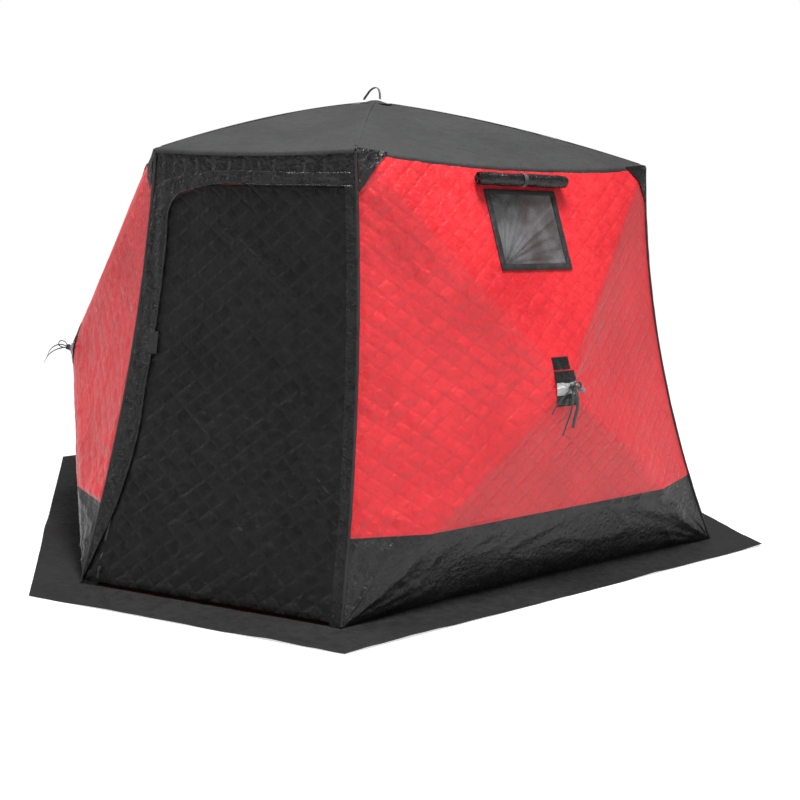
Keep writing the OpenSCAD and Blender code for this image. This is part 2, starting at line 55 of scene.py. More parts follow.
DOOR_W, HUB_W = 1.12, 2.0  # a door wall's and a hub wall's run along the ground
TURN = math.radians(54.5)  # between a door wall's run and a hub wall's
TAPER = 0.763  # the eaves' plan over the ground's
PEAK_H, EAVES_H, BAND_H = 2.0, 1.7, 0.30
HUB_H, BULGE = 0.808, 0.206  # a wall hub's height, and how far it stands out of its wall's plane
SEAM_SAG, EAVES_SAG = 0.080, 0.042
DOOR_EAVES = 0.3  # the share of EAVES_SAG over a door
SIDE, DEPTH = DOOR_W / 2 + HUB_W * cos(TURN), HUB_W * sin(TURN)
CORNERS = [array(p, float) for p in (
    (DOOR_W / 2, -DEPTH, 0), (SIDE, 0, 0), (DOOR_W / 2, DEPTH, 0),
    (-DOOR_W / 2, DEPTH, 0), (-SIDE, 0, 0), (-DOOR_W / 2, -DEPTH, 0))]
HUB_WALLS = {0: "front_right", 1: "back_right", 3: "back_left", 4: "front_left"}
DOOR_END = {0: 0, 1: 1, 3: 0, 4: 1}  # which end of a hub wall meets a door wall
DOORS = {5: "front", 2: "back"}
WINDOW_WALLS = (0, 3)
UP, LEVEL = array([0, 0, 1.0]), array([1, 1, 0])
PEAK = array([0, 0, PEAK_H])


def unit(v):
    return v / np.linalg.norm(v)


def mix(a, b, t):
    return a + (b - a) * t


def smooth(x):
    x = np.clip(x, 0, 1)
    return x * x * (3 - 2 * x)


def shares(count):
    return linspace(0, 1, count)


def arch(t):
    """From 0 at a span's ends to 1 at its middle."""
    return 4 * t * (1 - t)


def corner(i):
    return CORNERS[i % 6]


def eave(i):
    return array([corner(i)[0] * TAPER, corner(i)[1] * TAPER, EAVES_H])


def mid(i):
    return (corner(i) + corner(i + 1)) / 2


def eave_mid(i):
    return (eave(i) + eave(i + 1)) / 2


def along(i):
    return unit(corner(i + 1) - corner(i))


def outward(i):
    return array([along(i)[1], -along(i)[0], 0])


def lean(i):
    return math.atan2((1 - TAPER) * (mid(i) @ outward(i)), EAVES_H)


def rise(i):
    return outward(i) * -sin(lean(i)) + UP * cos(lean(i))


def normal(i):
    return outward(i) * cos(lean(i)) + UP * sin(lean(i))


def hub(i):
    z = HUB_H - BULGE * sin(lean(i))
    return mid(i) + (eave_mid(i) - mid(i)) * z / EAVES_H + normal(i) * BULGE


def wall_xy(i, p):
    """A point's place in wall i's plane: along it from its middle, and up it."""
    return (p - mid(i)) @ along(i), (p - mid(i)) @ rise(i)


def seam(i, t):
    """The corner seam at shares t of its height, which curves in between ground and eaves."""
    x, y = -np.sign(corner(i)[:2])
    pull = array([x, 0, 0] if i % 3 == 1 else [0, y, 0])
    t = np.asarray(t, float)[..., None]
    return corner(i) + (eave(i) - corner(i)) * t + pull * SEAM_SAG * arch(t)


def eave_line(i, s):
    """Wall i's eaves at shares s of their run, which sag over a door and are drawn to a hub."""
    sag = -rise(i) * DOOR_EAVES if i in DOORS else unit(hub(i) - eave_mid(i))
    s = np.asarray(s, float)[..., None]
    return eave(i) + (eave(i + 1) - eave(i)) * s + sag * EAVES_SAG * arch(s)


# ---- the camera ----

CAMERA_AT, YAW, PITCH, ROLL = (1.915, -4.738, 1.469), -0.354, -0.184, 0.022
LENS, SENSOR, SIGHT = 45.35, 36, 200


def add_object(name, data):
    thing = bpy.data.objects.new(name, data)
    bpy.context.scene.collection.objects.link(thing)
    return thing


def make_camera():
    ahead = array([sin(YAW) * cos(PITCH), cos(YAW) * cos(PITCH),
                      sin(PITCH)])
    level = array([cos(YAW), -sin(YAW), 0])
    over = cross(level, ahead)
    right = level * cos(ROLL) + over * sin(ROLL)
    top = over * cos(ROLL) - level * sin(ROLL)
    data = bpy.data.cameras.new("camera")
    data.lens, data.sensor_width, data.clip_end = LENS, SENSOR, SIGHT
    camera = add_object("camera", data)
    turn = Matrix([[right[k], top[k], -ahead[k]] for k in range(3)]).to_4x4()
    camera.matrix_world = Matrix.Translation(CAMERA_AT) @ turn
    bpy.context.scene.camera = camera


make_camera()

# ---- noise, and shapes that several pieces share ----

CELLS = 64
TABLE = np.random.default_rng(41).random((CELLS, CELLS))
SEED_X, SEED_Y = 17.3, 9.1  # each seed looks at another part of the table
QUILT_SIN, QUILT_COS = sin(math.radians(40)), cos(math.radians(40))
QUILT_PITCH = 0.058


def noise(x, y, seed=0):
    """Smooth noise from -1 to 1, with one swing for each unit of x and y."""
    x, y = np.asarray(x, float) + SEED_X * seed, np.asarray(y, float) + SEED_Y * seed
    a, b = np.floor(x).astype(int), np.floor(y).astype(int)
    fx, fy = smooth(x - a), smooth(y - b)
    a0, b0, a1, b1 = a % CELLS, b % CELLS, (a + 1) % CELLS, (b + 1) % CELLS
    low = mix(TABLE[a0, b0], TABLE[a1, b0], fx)
    high = mix(TABLE[a0, b1], TABLE[a1, b1], fx)
    return mix(low, high, fy) * 2 - 1


def crease(x, y, seed=0):
    """Noise with narrow ridges, from 0 to 1, as in creased cloth."""
    return (1 - np.abs(noise(x, y, seed))) ** 3


def puffs(x, y):
    """Quilted squares: 1 at the middle of each and 0 along its stitches."""
    a, b = ((sign * x * QUILT_SIN + y * QUILT_COS) / QUILT_PITCH for sign in (1, -1))
    return np.abs(sin(pi * a) * sin(pi * b)) ** 0.5


def to_line(x, y, a, b):
    """The distance from x, y to the line from a to b, and the nearest point's share of it."""
    dx, dy = b[0] - a[0], b[1] - a[1]
    t = np.clip(((x - a[0]) * dx + (y - a[1]) * dy) / (dx * dx + dy * dy), 0, 1)
    return hypot(x - a[0] - dx * t, y - a[1] - dy * t), t


def rectangle(xs, ys, columns, rows):
    return np.meshgrid(linspace(*xs, columns), linspace(*ys, rows))


def rim(x, y, xs, ys):
    """How far x, y lies inside a rectangle's nearest edge."""
    return np.minimum(np.minimum(x - xs[0], xs[1] - x), np.minimum(y - ys[0], ys[1] - y))


def pair(x, y):
    return np.stack(np.broadcast_arrays(x, y), -1)


# ---- meshes ----

SHEET_T = 0.004
SHEETS = []
LEAST_SIDE, LEAST_SHARE = 0.012, 0.31  # of a cut's size, and of its area in that size
WEB_STEP = 0.006


def mesh_object(name, points, faces, uv, material, sharp=50):
    used, faces = np.unique(faces, return_inverse=True)
    faces = faces.reshape(-1, 4)
    mesh = bpy.data.meshes.new(name)
    mesh.vertices.add(len(used))
    mesh.vertices.foreach_set("co", points[used].astype(np.float32).ravel())
    mesh.loops.add(faces.size)
    mesh.loops.foreach_set("vertex_index", faces.ravel().astype(np.int32))
    mesh.polygons.add(len(faces))
    mesh.polygons.foreach_set("loop_start", np.arange(len(faces), dtype=np.int32) * 4)
    mesh.polygons.foreach_set("use_smooth", np.ones(len(faces), bool))
    layer = mesh.uv_layers.new(name="metres")
    layer.data.foreach_set("uv", uv[used][faces.ravel()].astype(np.float32).ravel())
    mesh.update(calc_edges=True)
    mesh.validate()
    mesh.set_sharp_from_angle(angle=math.radians(sharp))
    mesh.materials.append(material)
    return add_object(name, mesh)


def shell(name, outer, back, uv, material, mask=None):
    """A closed sheet: back is the step from a point to its other face, mask the cells it keeps."""
    n, m = outer.shape[:2]
    index = np.arange(n * m).reshape(n, m)
    a, b, c, d = index[:-1, :-1], index[:-1, 1:], index[1:, 1:], index[1:, :-1]
    keep = np.ones((n - 1, m - 1), bool) if mask is None else mask
    front = np.stack([a, b, c, d], -1)[keep]
    padded = np.pad(keep, 1)
    rims = []
    for di, dj, p, q in ((-1, 0, a, b), (0, 1, b, c), (1, 0, c, d), (0, -1, d, a)):
        bare = keep & ~padded[1 + di:n + di, 1 + dj:m + dj]
        rims.append(np.stack([q[bare], p[bare], p[bare] + n * m, q[bare] + n * m], -1))
    faces = concatenate([front, front[:, ::-1] + n * m, *rims])
    points = concatenate([outer.reshape(-1, 3), (outer - back).reshape(-1, 3)])
    p = points[front]
    across = cross(p[:, 1] - p[:, 0], p[:, 3] - p[:, 0])
    if np.einsum("ij,ij->i", across, p[:, 0] - points[front[:, 0] + n * m]).sum() < 0:
        faces = faces[:, ::-1]
    return mesh_object(name, points, faces, concatenate([uv.reshape(-1, 2)] * 2), material)


def tube(name, rings, uv, material, caps=True):
    """A closed tube from its rings of points, with each end drawn in to close it."""
    rings = np.asarray(rings, float)
    if caps:
        ends = [[mix(r, r.mean(0), f) for f in (0.97, 0.5)] for r in (rings[0], rings[-1])]
        rings = concatenate([ends[0], rings, ends[1][::-1]])
        uv = concatenate([uv[:1], uv[:1], uv, uv[-1:], uv[-1:]])
    n, m = rings.shape[:2]
    index = np.arange(n * m).reshape(n, m)
    after = np.roll(index, -1, 1)
    faces = np.stack([index[:-1], after[:-1], after[1:], index[1:]], -1).reshape(-1, 4)
    for row, sense in ((0, 1), (n - 1, -1)):
        r = index[row]
        cap = array([[r[k], r[m - 1 - k], r[m - 2 - k], r[k + 1]] for k in range(m // 2 - 1)])
        faces = concatenate([faces, cap[:, ::sense]])
    points = rings.reshape(-1, 3)
    p = points[faces]
    across = cross(p[:, 2] - p[:, 0], p[:, 3] - p[:, 1])
    if np.einsum("ij,ij->i", across, p.mean(1) - points.mean(0)).sum() < 0:
        faces = faces[:, ::-1]
    return mesh_object(name, points, faces, uv.reshape(-1, 2), material)


def length_of(path):
    return float(np.linalg.norm(np.diff(np.asarray(path, float), axis=0), axis=1).sum())


def resample(path, count):
    """A smooth curve through path's points, at even steps."""
    path = np.asarray(path, float)
    p = concatenate([[2 * path[0] - path[1]], path, [2 * path[-1] - path[-2]]])
    parts = []
    for k in range(1, len(p) - 2):
        t = linspace(0, 1, 24, endpoint=k == len(p) - 3)[:, None]
        a, b, c, d = p[k - 1:k + 3]
        parts.append(0.5 * (2 * b + (c - a) * t + (2 * a - 5 * b + 4 * c - d) * t ** 2
                            + (3 * b - a - 3 * c + d) * t ** 3))
    curve = concatenate(parts)
    run = concatenate([[0], np.cumsum(np.linalg.norm(np.diff(curve, axis=0), axis=1))])
    at = linspace(0, run[-1], count)
    return np.stack([np.interp(at, run, curve[:, k]) for k in range(curve.shape[1])], -1)


def strap(name, path, width, side, material, thick=0.0018, curl=0.0):
    """A flat length of webbing along path: side is the way its width lies."""
    path = resample(path, max(8, int(length_of(path) / WEB_STEP)))
    ahead = np.gradient(path, axis=0)
    ahead /= np.linalg.norm(ahead, axis=1)[:, None]
    side = np.asarray(side, float)
    across = side - ahead * (ahead @ side)[:, None]
    across /= np.linalg.norm(across, axis=1)[:, None]
    over = cross(across, ahead)
    run = linspace(0, length_of(path), len(path))
    spread = linspace(-1, 1, 9)
    rings, uv = [], []
    for s, face in [(s, 1) for s in spread] + [(s, -1) for s in spread[::-1]]:
        bow = curl * (s * s - 0.4) * sin(run / max(run[-1], 1e-6) * pi)
        lift = face * thick / 2 * (1 - 0.5 * s ** 8) + bow
        rings.append(path + across * s * width / 2 + over * lift[:, None])
        uv.append(pair(run, s * width / 2))
    piece = tube(name, np.stack(rings, 1), np.stack(uv, 1), material)
    return piece


def area_of(grid, mask=None):
    a = cross(grid[1:, 1:] - grid[:-1, :-1], grid[1:, :-1] - grid[:-1, 1:])
    a = np.linalg.norm(a, axis=-1) / 2
    return float(a.sum() if mask is None else a[mask].sum())


def sheet(name, outer, back, uv, material, cut, mask=None, strip=None,
          body=None, node=None):
    """A closed sheet, declared with the size it was cut to.

    cut is its grid before it was creased, strip its length where it was cut as one strip,
    body what it rides on, and node the CAD node that it stands for.
    """
    piece = shell(name, outer, back, uv, material, mask)
    area = area_of(cut, mask)
    if strip:
        flat = (round(area / strip, 3), round(strip, 3))
    else:
        p = cut.reshape(-1, 3) - cut.reshape(-1, 3).mean(0)
        axes = np.linalg.svd(p[:: max(1, len(p) // 4000)], full_matrices=False)[2]
        size = [float(np.ptp(p @ axes[k])) for k in (1, 0)]
        flat = tuple(round(max(s, LEAST_SIDE), 3) for s in size)
        area = min(max(area, LEAST_SHARE * flat[0] * flat[1]), flat[0] * flat[1])
    SHEETS.append((name, flat, round(area, 4)))
    if body:
        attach(piece, body)
    if node:
        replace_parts(piece, node)
    return piece


def blend_to_hub(piece, a, b, tip, body, start):
    """Bakes the piece's transform into its mesh; it doesn't turn to the hub, and a, b and tip are
    not used.
    """
    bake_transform(piece)


# ---- materials ----


class Paint:
    """A material's node tree, with short names for the nodes that it uses."""

    def __init__(self, name, **fixed):
        self.material = bpy.data.materials.new(name)
        self.material.use_nodes = True
        self.tree = self.material.node_tree
        self.shader = self.tree.nodes["Principled BSDF"]
        for key, value in fixed.items():
            self.shader.inputs[key.replace("_", " ")].default_value = value
        uv = self.node("UVMap")
        uv.uv_map = "metres"
        self.uv = uv.outputs[0]
        self.place = self.node("TexCoord").outputs["Object"]

    def node(self, kind, **inputs):
        node = self.tree.nodes.new("ShaderNode" + kind)
        for key, value in inputs.items():
            self.put(node.inputs[key], value)
        return node

    def put(self, socket, value):
        if isinstance(value, bpy.types.NodeSocket):
            self.tree.links.new(value, socket)
        else:
            socket.default_value = value

    def math(self, kind, *values):
        node = self.node("Math")
        node.operation = kind
        for socket, value in zip(node.inputs, values):
            self.put(socket, value)
        return node.outputs[0]

    def times(self, a, b):
        return self.math("MULTIPLY", a, b)

    def plus(self, a, b):
        return self.math("ADD", a, b)

    def swing(self, value, pitch, kind="SINE"):
        """A sine wave that repeats over each length pitch."""
        return self.math(kind, self.times(value, 2 * pi / pitch))

    def wave(self, value, size):
        """From 0 to half of size and back over each length size."""
        return self.math("PINGPONG", value, size / 2)

    def ramp(self, value, low, high, start=0.0, end=1.0):
        node = self.node("MapRange")
        node.interpolation_type = "SMOOTHSTEP"
        for socket, number in zip(node.inputs, (value, low, high, start, end)):
            self.put(socket, number)
        return node.outputs[0]

    def noise(self, scale, detail=2.0, rough=0.5, stretch=None):
        where = self.place
        if stretch:
            where = self.node("Mapping", Vector=where, Scale=stretch).outputs[0]
        node = self.node("TexNoise", Vector=where, Scale=scale, Detail=detail, Roughness=rough)
        return node.outputs[0]

    def parts(self, vector):
        return self.node("SeparateXYZ", Vector=vector).outputs[:2]

    def blend(self, share, a, b):
        node = self.node("Mix")
        node.data_type = "RGBA"
        for socket, value in ((node.inputs[0], share), (node.inputs[6], a), (node.inputs[7], b)):
            self.put(socket, value)
        return node.outputs[2]

    def bump(self, height, distance, strength=1.0, below=None):
        node = self.node("Bump", Strength=strength, Distance=distance, Height=height)
        if below is not None:
            self.put(node.inputs["Normal"], below)
        return node.outputs[0]

    def done(self, color, rough, normal=None):
        self.put(self.shader.inputs["Base Color"], color)
        self.put(self.shader.inputs["Roughness"], rough)
        if normal is not None:
            self.put(self.shader.inputs["Normal"], normal)
        return self.material


def rgb(r, g, b):
    return (r, g, b, 1.0)


GROOVE, SHADE_WIDTH, STITCH = 0.012, 0.005, 0.007  # a sewn line's dip, the width of the painted shade along it, a stitch's length


def woven(name, dark, light, rough, crinkle, weave=0.0014, quilt=0.0, stitch=0.35, **fixed):
    """Cloth: colour that varies, a fine weave, crinkles, and quilting where quilt is its depth,
    with painted shade in its grooves and a painted highlight on its stitches.
    """
    m = Paint(name, **fixed)
    x, y = m.parts(m.uv)
    wide, fine = m.noise(3.1, 3.0), m.noise(24.0, 3.0, rough=0.6)
    shade = m.ramp(m.plus(m.times(wide, 0.6), m.times(fine, 0.4)), 0.34, 0.66)
    color = m.blend(shade, rgb(*dark), rgb(*light))
    normal = m.bump(m.times(m.swing(x, weave), m.swing(y, weave)), 0.00012, 0.5)
    folds, small = m.noise(15.0, 4.0, rough=0.62), m.noise(60.0, 2.0)
    normal = m.bump(m.plus(folds, m.times(small, 0.25)), crinkle * 6, 0.8, normal)
    roughness = m.ramp(fine, 0.3, 0.7, *rough)
    if quilt:
        lines = []
        for sign in (1, -1):
            q = m.plus(m.times(x, sign * QUILT_SIN), m.times(y, QUILT_COS))
            lines.append(m.wave(m.plus(q, 50 * QUILT_PITCH), QUILT_PITCH))
        run = m.plus(m.times(x, QUILT_COS), m.times(y, -QUILT_SIN))
        near = m.math("MINIMUM", *lines)
        normal = m.bump(m.ramp(near, 0.0, GROOVE), quilt, 1.0, normal)
        # The stitches are drawn lighter than the cloth: a painted highlight for the sheen on the
        # stitches, scaled by stitch.
        thread_highlight = m.times(m.ramp(near, 0.0006, 0.0018, 1.0, 0.0),
                         m.ramp(m.wave(run, STITCH), 0.0006, 0.0014))
        # Painted shade: the middle of each sewn line's groove is darkened.
        groove_shade = m.times(m.ramp(near, 0.0, SHADE_WIDTH, 1.0, 0.0), 0.30)
        color = m.blend(groove_shade, color, rgb(*[c * 0.35 for c in dark]))
        highlight_color = rgb(*[min(1, c * 1.3 + 0.01) for c in light])
        color = m.blend(m.times(thread_highlight, stitch), color, highlight_color)
    return m.done(color, roughness, normal)


def webbing_paint(name, dark, light):
    m = Paint(name, Specular_IOR_Level=0.4, Sheen_Weight=0.3)
    run, side = m.parts(m.uv)
    ribs = m.times(m.swing(run, 0.0016), m.swing(side, 0.003, "COSINE"))
    wear = m.noise(160.0, 2.0)
    color = m.blend(m.ramp(wear, 0.35, 0.7), rgb(*dark), rgb(*light))
    return m.done(color, m.ramp(wear, 0.3, 0.7, 0.55, 0.8), m.bump(ribs, 0.0003, 0.7))


def hard_paint(name, dark, light, rough, **fixed):
    m = Paint(name, **fixed)
    wear, fine = m.noise(18.0, 4.0), m.noise(220.0, 2.0)
    color = m.blend(m.ramp(wear, 0.35, 0.7), rgb(*dark), rgb(*light))
    return m.done(color, m.ramp(fine, 0.3, 0.7, *rough), m.bump(fine, 0.0002, 0.4))


def rod_paint(name):
    """Fibreglass rod: a faint lengthwise streak under a clear coat."""
    m = Paint(name, Coat_Weight=0.5, Coat_Roughness=0.2)
    streak = m.noise(90.0, 3.0, stretch=(1, 1, 0.1))
    color = m.blend(m.ramp(streak, 0.35, 0.65), rgb(0.018, 0.019, 0.022), rgb(0.05, 0.052, 0.058))
    return m.done(color, m.ramp(streak, 0.3, 0.7, 0.28, 0.42), m.bump(streak, 0.0002, 0.3))


def vinyl_paint(name):
    m = Paint(name, Alpha=0.62, IOR=1.46, Specular_IOR_Level=0.9)
    haze = m.noise(9.0, 3.0)
    color = m.blend(m.ramp(haze, 0.35, 0.7), rgb(0.06, 0.06, 0.062), rgb(0.14, 0.14, 0.144))
    return m.done(color, m.ramp(haze, 0.3, 0.7, 0.12, 0.20))


def zip_paint(name):
    """Zip tape, with a row of moulded teeth along its middle."""
    m = Paint(name, Specular_IOR_Level=0.5)
    run, side = m.parts(m.uv)
    teeth = m.times(m.ramp(m.math("ABSOLUTE", side), 0.003, 0.0036, 1.0, 0.0),
                    m.ramp(m.wave(run, 0.003), 0.0004, 0.0009))
    grain = m.noise(300.0, 2.0)
    color = m.blend(m.times(teeth, 0.8), rgb(0.012, 0.012, 0.013), rgb(0.05, 0.05, 0.054))
    return m.done(color, m.ramp(grain, 0.3, 0.7, 0.42, 0.7), m.bump(teeth, 0.0012, 1.0))


RED = woven("red_quilt", (0.46, 0.010, 0.016), (0.60, 0.018, 0.026), (0.30, 0.46), 0.0012,
            quilt=0.0009, Specular_IOR_Level=0.5, Sheen_Weight=0.12, Sheen_Roughness=0.4,
            Sheen_Tint=rgb(1.0, 0.3, 0.3))
# The door's stitches carry a stronger painted highlight.
DOOR = woven("door_quilt", (0.0028, 0.0028, 0.003), (0.0055, 0.0055, 0.0058), (0.36, 0.54),
             0.0012, quilt=0.0013, stitch=0.6, Specular_IOR_Level=0.24)
FLAP = woven("black_nylon", (0.003, 0.003, 0.0033), (0.007, 0.007, 0.0073), (0.24, 0.42),
             0.0022, Specular_IOR_Level=0.42)
BAND = woven("band_cloth", (0.006, 0.006, 0.0064), (0.012, 0.012, 0.0124), (0.32, 0.50),
             0.0020, Specular_IOR_Level=0.44)
ROOF = woven("roof_cloth", (0.017, 0.0172, 0.0175), (0.024, 0.0243, 0.025), (0.58, 0.74),
             0.0007, Specular_IOR_Level=0.25)
SKIRT = woven("skirt_cloth", (0.009, 0.0092, 0.0097), (0.014, 0.0143, 0.015), (0.55, 0.72),
              0.0012, Specular_IOR_Level=0.25)
TAPE = woven("binding_tape", (0.010, 0.010, 0.011), (0.018, 0.018, 0.019), (0.45, 0.62),
             0.0004, Specular_IOR_Level=0.4)
SHINY = woven("reflective_cloth", (0.26, 0.26, 0.27), (0.46, 0.46, 0.47), (0.3, 0.5),
              0.001, Specular_IOR_Level=0.6, Metallic=0.3)
HOOKS = woven("hook_tape", (0.004, 0.004, 0.0045), (0.012, 0.012, 0.013), (0.75, 0.95),
              0.0003, weave=0.0022)
WEBBING = webbing_paint("webbing", (0.010, 0.010, 0.011), (0.024, 0.024, 0.026))
GREY_WEBBING = webbing_paint("grey_webbing", (0.06, 0.06, 0.063), (0.13, 0.13, 0.135))
NYLON = hard_paint("moulded_nylon", (0.012, 0.012, 0.013), (0.028, 0.028, 0.03), (0.35, 0.55))
STEEL = hard_paint("plated_steel", (0.42, 0.42, 0.44), (0.62, 0.62, 0.64), (0.2, 0.36),
                   Metallic=1.0)
RODS = rod_paint("fibreglass_rod")
VINYL = vinyl_paint("clear_vinyl")
ZIP = zip_paint("zip_tape")

# ---- hub walls ----

HUB_END, FACET_ROWS = 0.985, 96  # a facet's rows go this share of the way to its hub
TOP_COLUMNS, LOW_COLUMNS, SIDE_COLUMNS, BAND_COLUMNS, BAND_ROWS = 150, 170, 126, 24, 30
GAP = 0.004  # between a wall's edge and its corner seam, and between its hem and the ground
SEAM_TOP, BAND_TOP = 0.998, BAND_H / EAVES_H  # shares of a corner seam
EASE = 0.03  # the relief fades out over this width at a panel's edge
BAND_BOW = 0.040  # how far the band's foot bows in
WALL_BLEND = 0.2
WINDOW_AT = -0.020  # how far the window sits along the wall from its middle, towards the door
HOLE = (0.168, -0.468, -0.162)  # half width, bottom and top of the hole behind a window
GUSSET_RIDGE, GUSSET_SIDE, GUSSET_DROP = 0.105, 0.088, 0.165  # side is a share of the eaves
FAR = 9.0  # further than any point of a wall


def facet_share(i, x, y):
    """From 0 to 1 over the edge of wall i's facet next to the door."""
    k = DOOR_END[i]
    h = array(wall_xy(i, hub(i)))
    share = np.ones(np.shape(x))
    for c, sign in ((corner(i + k), 1), (eave(i + k), -1)):
        way = unit(array(wall_xy(i, c)) - h)
        off = (way[0] * (y - h[1]) - way[1] * (x - h[0])) * sign * (-1 if k == 0 else 1)
        share = share * smooth(off / 0.05)
    return share


def relief(i, x, y):
    """How far wall i's cloth stands out from its flat facets: quilting, folds and creases."""
    h = wall_xy(i, hub(i))
    door_x = x * (1 - 2 * DOOR_END[i])  # from -1 at the door's corner to 1 at the side corner
    door_side = facet_share(i, x, y)
    below = 0.8 * smooth((-door_x - 0.1) / 0.5) * smooth((0.85 - y) / 0.2)
    above = 1 - smooth((y - 1.0) / 0.2) * (1 - door_side)
    near_door = np.minimum(np.maximum(door_side, below), above)
    red = smooth((y - 0.29) / 0.03)
    slack = 0.55 + 0.45 * noise(x * 3.1, y * 3.1, i)
    d = puffs(x, y) * red * (0.0006 + 0.0044 * near_door * slack)
    # The sewn ridges dip, and folds fan out from the hub
    ridge = np.full(np.shape(x), FAR)
    for c in (corner(i), corner(i + 1), eave(i), eave(i + 1)):
        ridge = np.minimum(ridge, to_line(x, y, wall_xy(i, c), h)[0])
    d += -0.0040 * exp(-ridge / 0.014)
    r, turn = hypot(x - h[0], y - h[1]), np.arctan2(y - h[1], x - h[0])
    d += 0.0030 * exp(-r / 0.26) * smooth(r / 0.05) * noise(turn * 6.5, r * 4, i + 5)
    # Creases, which run up the slack cloth beside the door and cross the rest faintly
    bend = 2 * noise(x * 4, y * 4, 3)
    d += 0.0038 * near_door * red * crease(x * 17 + bend, y * 4.4, i + 9)
    d += 0.0036 * near_door * red * crease(x * 9 + y * 8, y * 9 - x * 8, i + 11)
    faint = crease(x * 8 + y * 3, y * 7 - x * 3, i + 15)
    d += 0.0016 * (noise(x * 6, y * 6, i + 13) + 0.6 * faint)
    # Folds that fan out from the ground corners, and creases across the band
    for cx in (-1.0, 1.0):
        r, turn = hypot(x - cx, y), np.arctan2(y, np.abs(x - cx) + 1e-9)
        d += 0.0085 * exp(-r / 0.40) * smooth(r / 0.12) * noise(turn * 13, r * 1.6, i + 17)
    bend = 1.2 * noise(x * 3, y * 9, 7)
    d += 0.0075 * (1 - red) * crease(x * 5.5 + bend, y * 8 + x * 1.5, i + 19)
    if i == 4:  # the left wall hangs in narrow upright folds
        d += 0.0018 * red * noise(x * 46, y * 5, 31)
    if i not in WINDOW_WALLS:
        return d
    calm = smooth(np.maximum(np.abs(x - WINDOW_AT) - 0.20, np.abs(y - 1.40) - 0.21) / 0.06)
    return d * (0.25 + 0.75 * calm)


def facet_ends(i, kind):
    return {"top": (eave(i), eave(i + 1)), "low": (corner(i), corner(i + 1)),
            "side0": (corner(i), eave(i)), "side1": (corner(i + 1), eave(i + 1))}[kind]


def ride_facet(piece, i, kind, node=None):
    """The piece's transform is baked, and the first wall's stands for the CAD node."""
    blend_to_hub(piece, *facet_ends(i, kind), hub(i), "hub_" + HUB_WALLS[i], WALL_BLEND)
    if i == 0 and node:
        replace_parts(piece, node)


def lifted(i, base, fade, proud=0.0):
    """The points of base with wall i's relief, and their places in the wall's plane."""
    x, y = wall_xy(i, base)
    return base + normal(i) * (relief(i, x, y) * fade + proud)[..., None], pair(x, y)


def wall_sheet(i, name, kind, base, fade, material, mask=None, node=None):
    outer, uv = lifted(i, base, fade)
    piece = sheet(name, outer, normal(i) * SHEET_T, uv, material, base, mask=mask)
    ride_facet(piece, i, kind, node)
    return piece


def edge_gap(i, k):
    return along(i) * GAP * (1 - 2 * k)


def band_ridge(i, k):
    return mix(corner(i + k), hub(i), BAND_H / hub(i)[2])


def wall_facet(i, kind, edge):
    """One red panel, from its outer edge to just short of the hub."""
    h = hub(i)
    rows = linspace(0, HUB_END, FACET_ROWS)[:, None]
    base = edge[None] + (h - edge)[None] * rows[..., None]
    far = np.linalg.norm(h - edge, axis=1)[None] * rows
    mask = None
    if kind == "top" and i in WINDOW_WALLS:
        half, low, high = HOLE
        x = (base - eave_mid(i)) @ along(i) - WINDOW_AT
        y = (base - eave_mid(i)) @ unit(eave_mid(i) - h)
        hole = (np.abs(x) < half) & (y < high) & (y > low)
        mask = ~(hole[:-1, :-1] & hole[1:, 1:] & hole[1:, :-1] & hole[:-1, 1:])
    return wall_sheet(i, f"wall_{HUB_WALLS[i]}_{kind}", kind, base, smooth(far / EASE), RED,
                      mask)


def make_hub_wall(i):
    top = eave_line(i, shares(TOP_COLUMNS))
    for k in (0, 1):
        top[-k] = seam(i + k, SEAM_TOP) + edge_gap(i, k)
    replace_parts(wall_facet(i, "top", top), "wall_" + HUB_WALLS[i])
    share = shares(LOW_COLUMNS)[:, None]
    wall_facet(i, "low", mix(band_ridge(i, 0), band_ridge(i, 1), share))
    for k in (0, 1):
        side = seam(i + k, linspace(BAND_TOP, SEAM_TOP, SIDE_COLUMNS)) + edge_gap(i, k)
        line = mix(band_ridge(i, k), side[0], shares(BAND_COLUMNS)[:, None])
        wall_facet(i, f"side{k}", concatenate([line[:-1], side]))


def make_band(i):
    """The dark band: its rows rise from the hem to the line where the red cloth starts."""
    name = f"band_{HUB_WALLS[i]}_"
    rows, share = shares(BAND_ROWS)[:, None], shares(LOW_COLUMNS)
    feet = [mix(corner(i + k), hub(i), GAP / hub(i)[2]) for k in (0, 1)]
    low = mix(*feet, share[:, None])
    high = mix(band_ridge(i, 0), band_ridge(i, 1), share[:, None])
    base = mix(low[None], high[None], rows[..., None])
    bow = sin(pi * share)[None] ** 0.7 * (1 - rows) ** 1.6
    base = base - outward(i) * (BAND_BOW * bow)[..., None]
    fade = smooth(rows / 0.12) * smooth((1 - rows) / 0.1)
    wall_sheet(i, name + "low", "low", base, fade, BAND, node="lower_bands")
    for k in (0, 1):
        ridge = mix(feet[k], band_ridge(i, k), rows)
        edge = seam(i + k, mix(GAP / EAVES_H, BAND_TOP, rows[:, 0])) + edge_gap(i, k)
        across = shares(BAND_COLUMNS)[None]
        base = mix(edge[:, None], ridge[:, None], across[..., None])
        width = np.maximum(np.linalg.norm(ridge - edge, axis=1), EASE)[:, None]
        wall_sheet(i, f"{name}side{k}", f"side{k}", base, fade * smooth(across * width / EASE),
                   BAND)


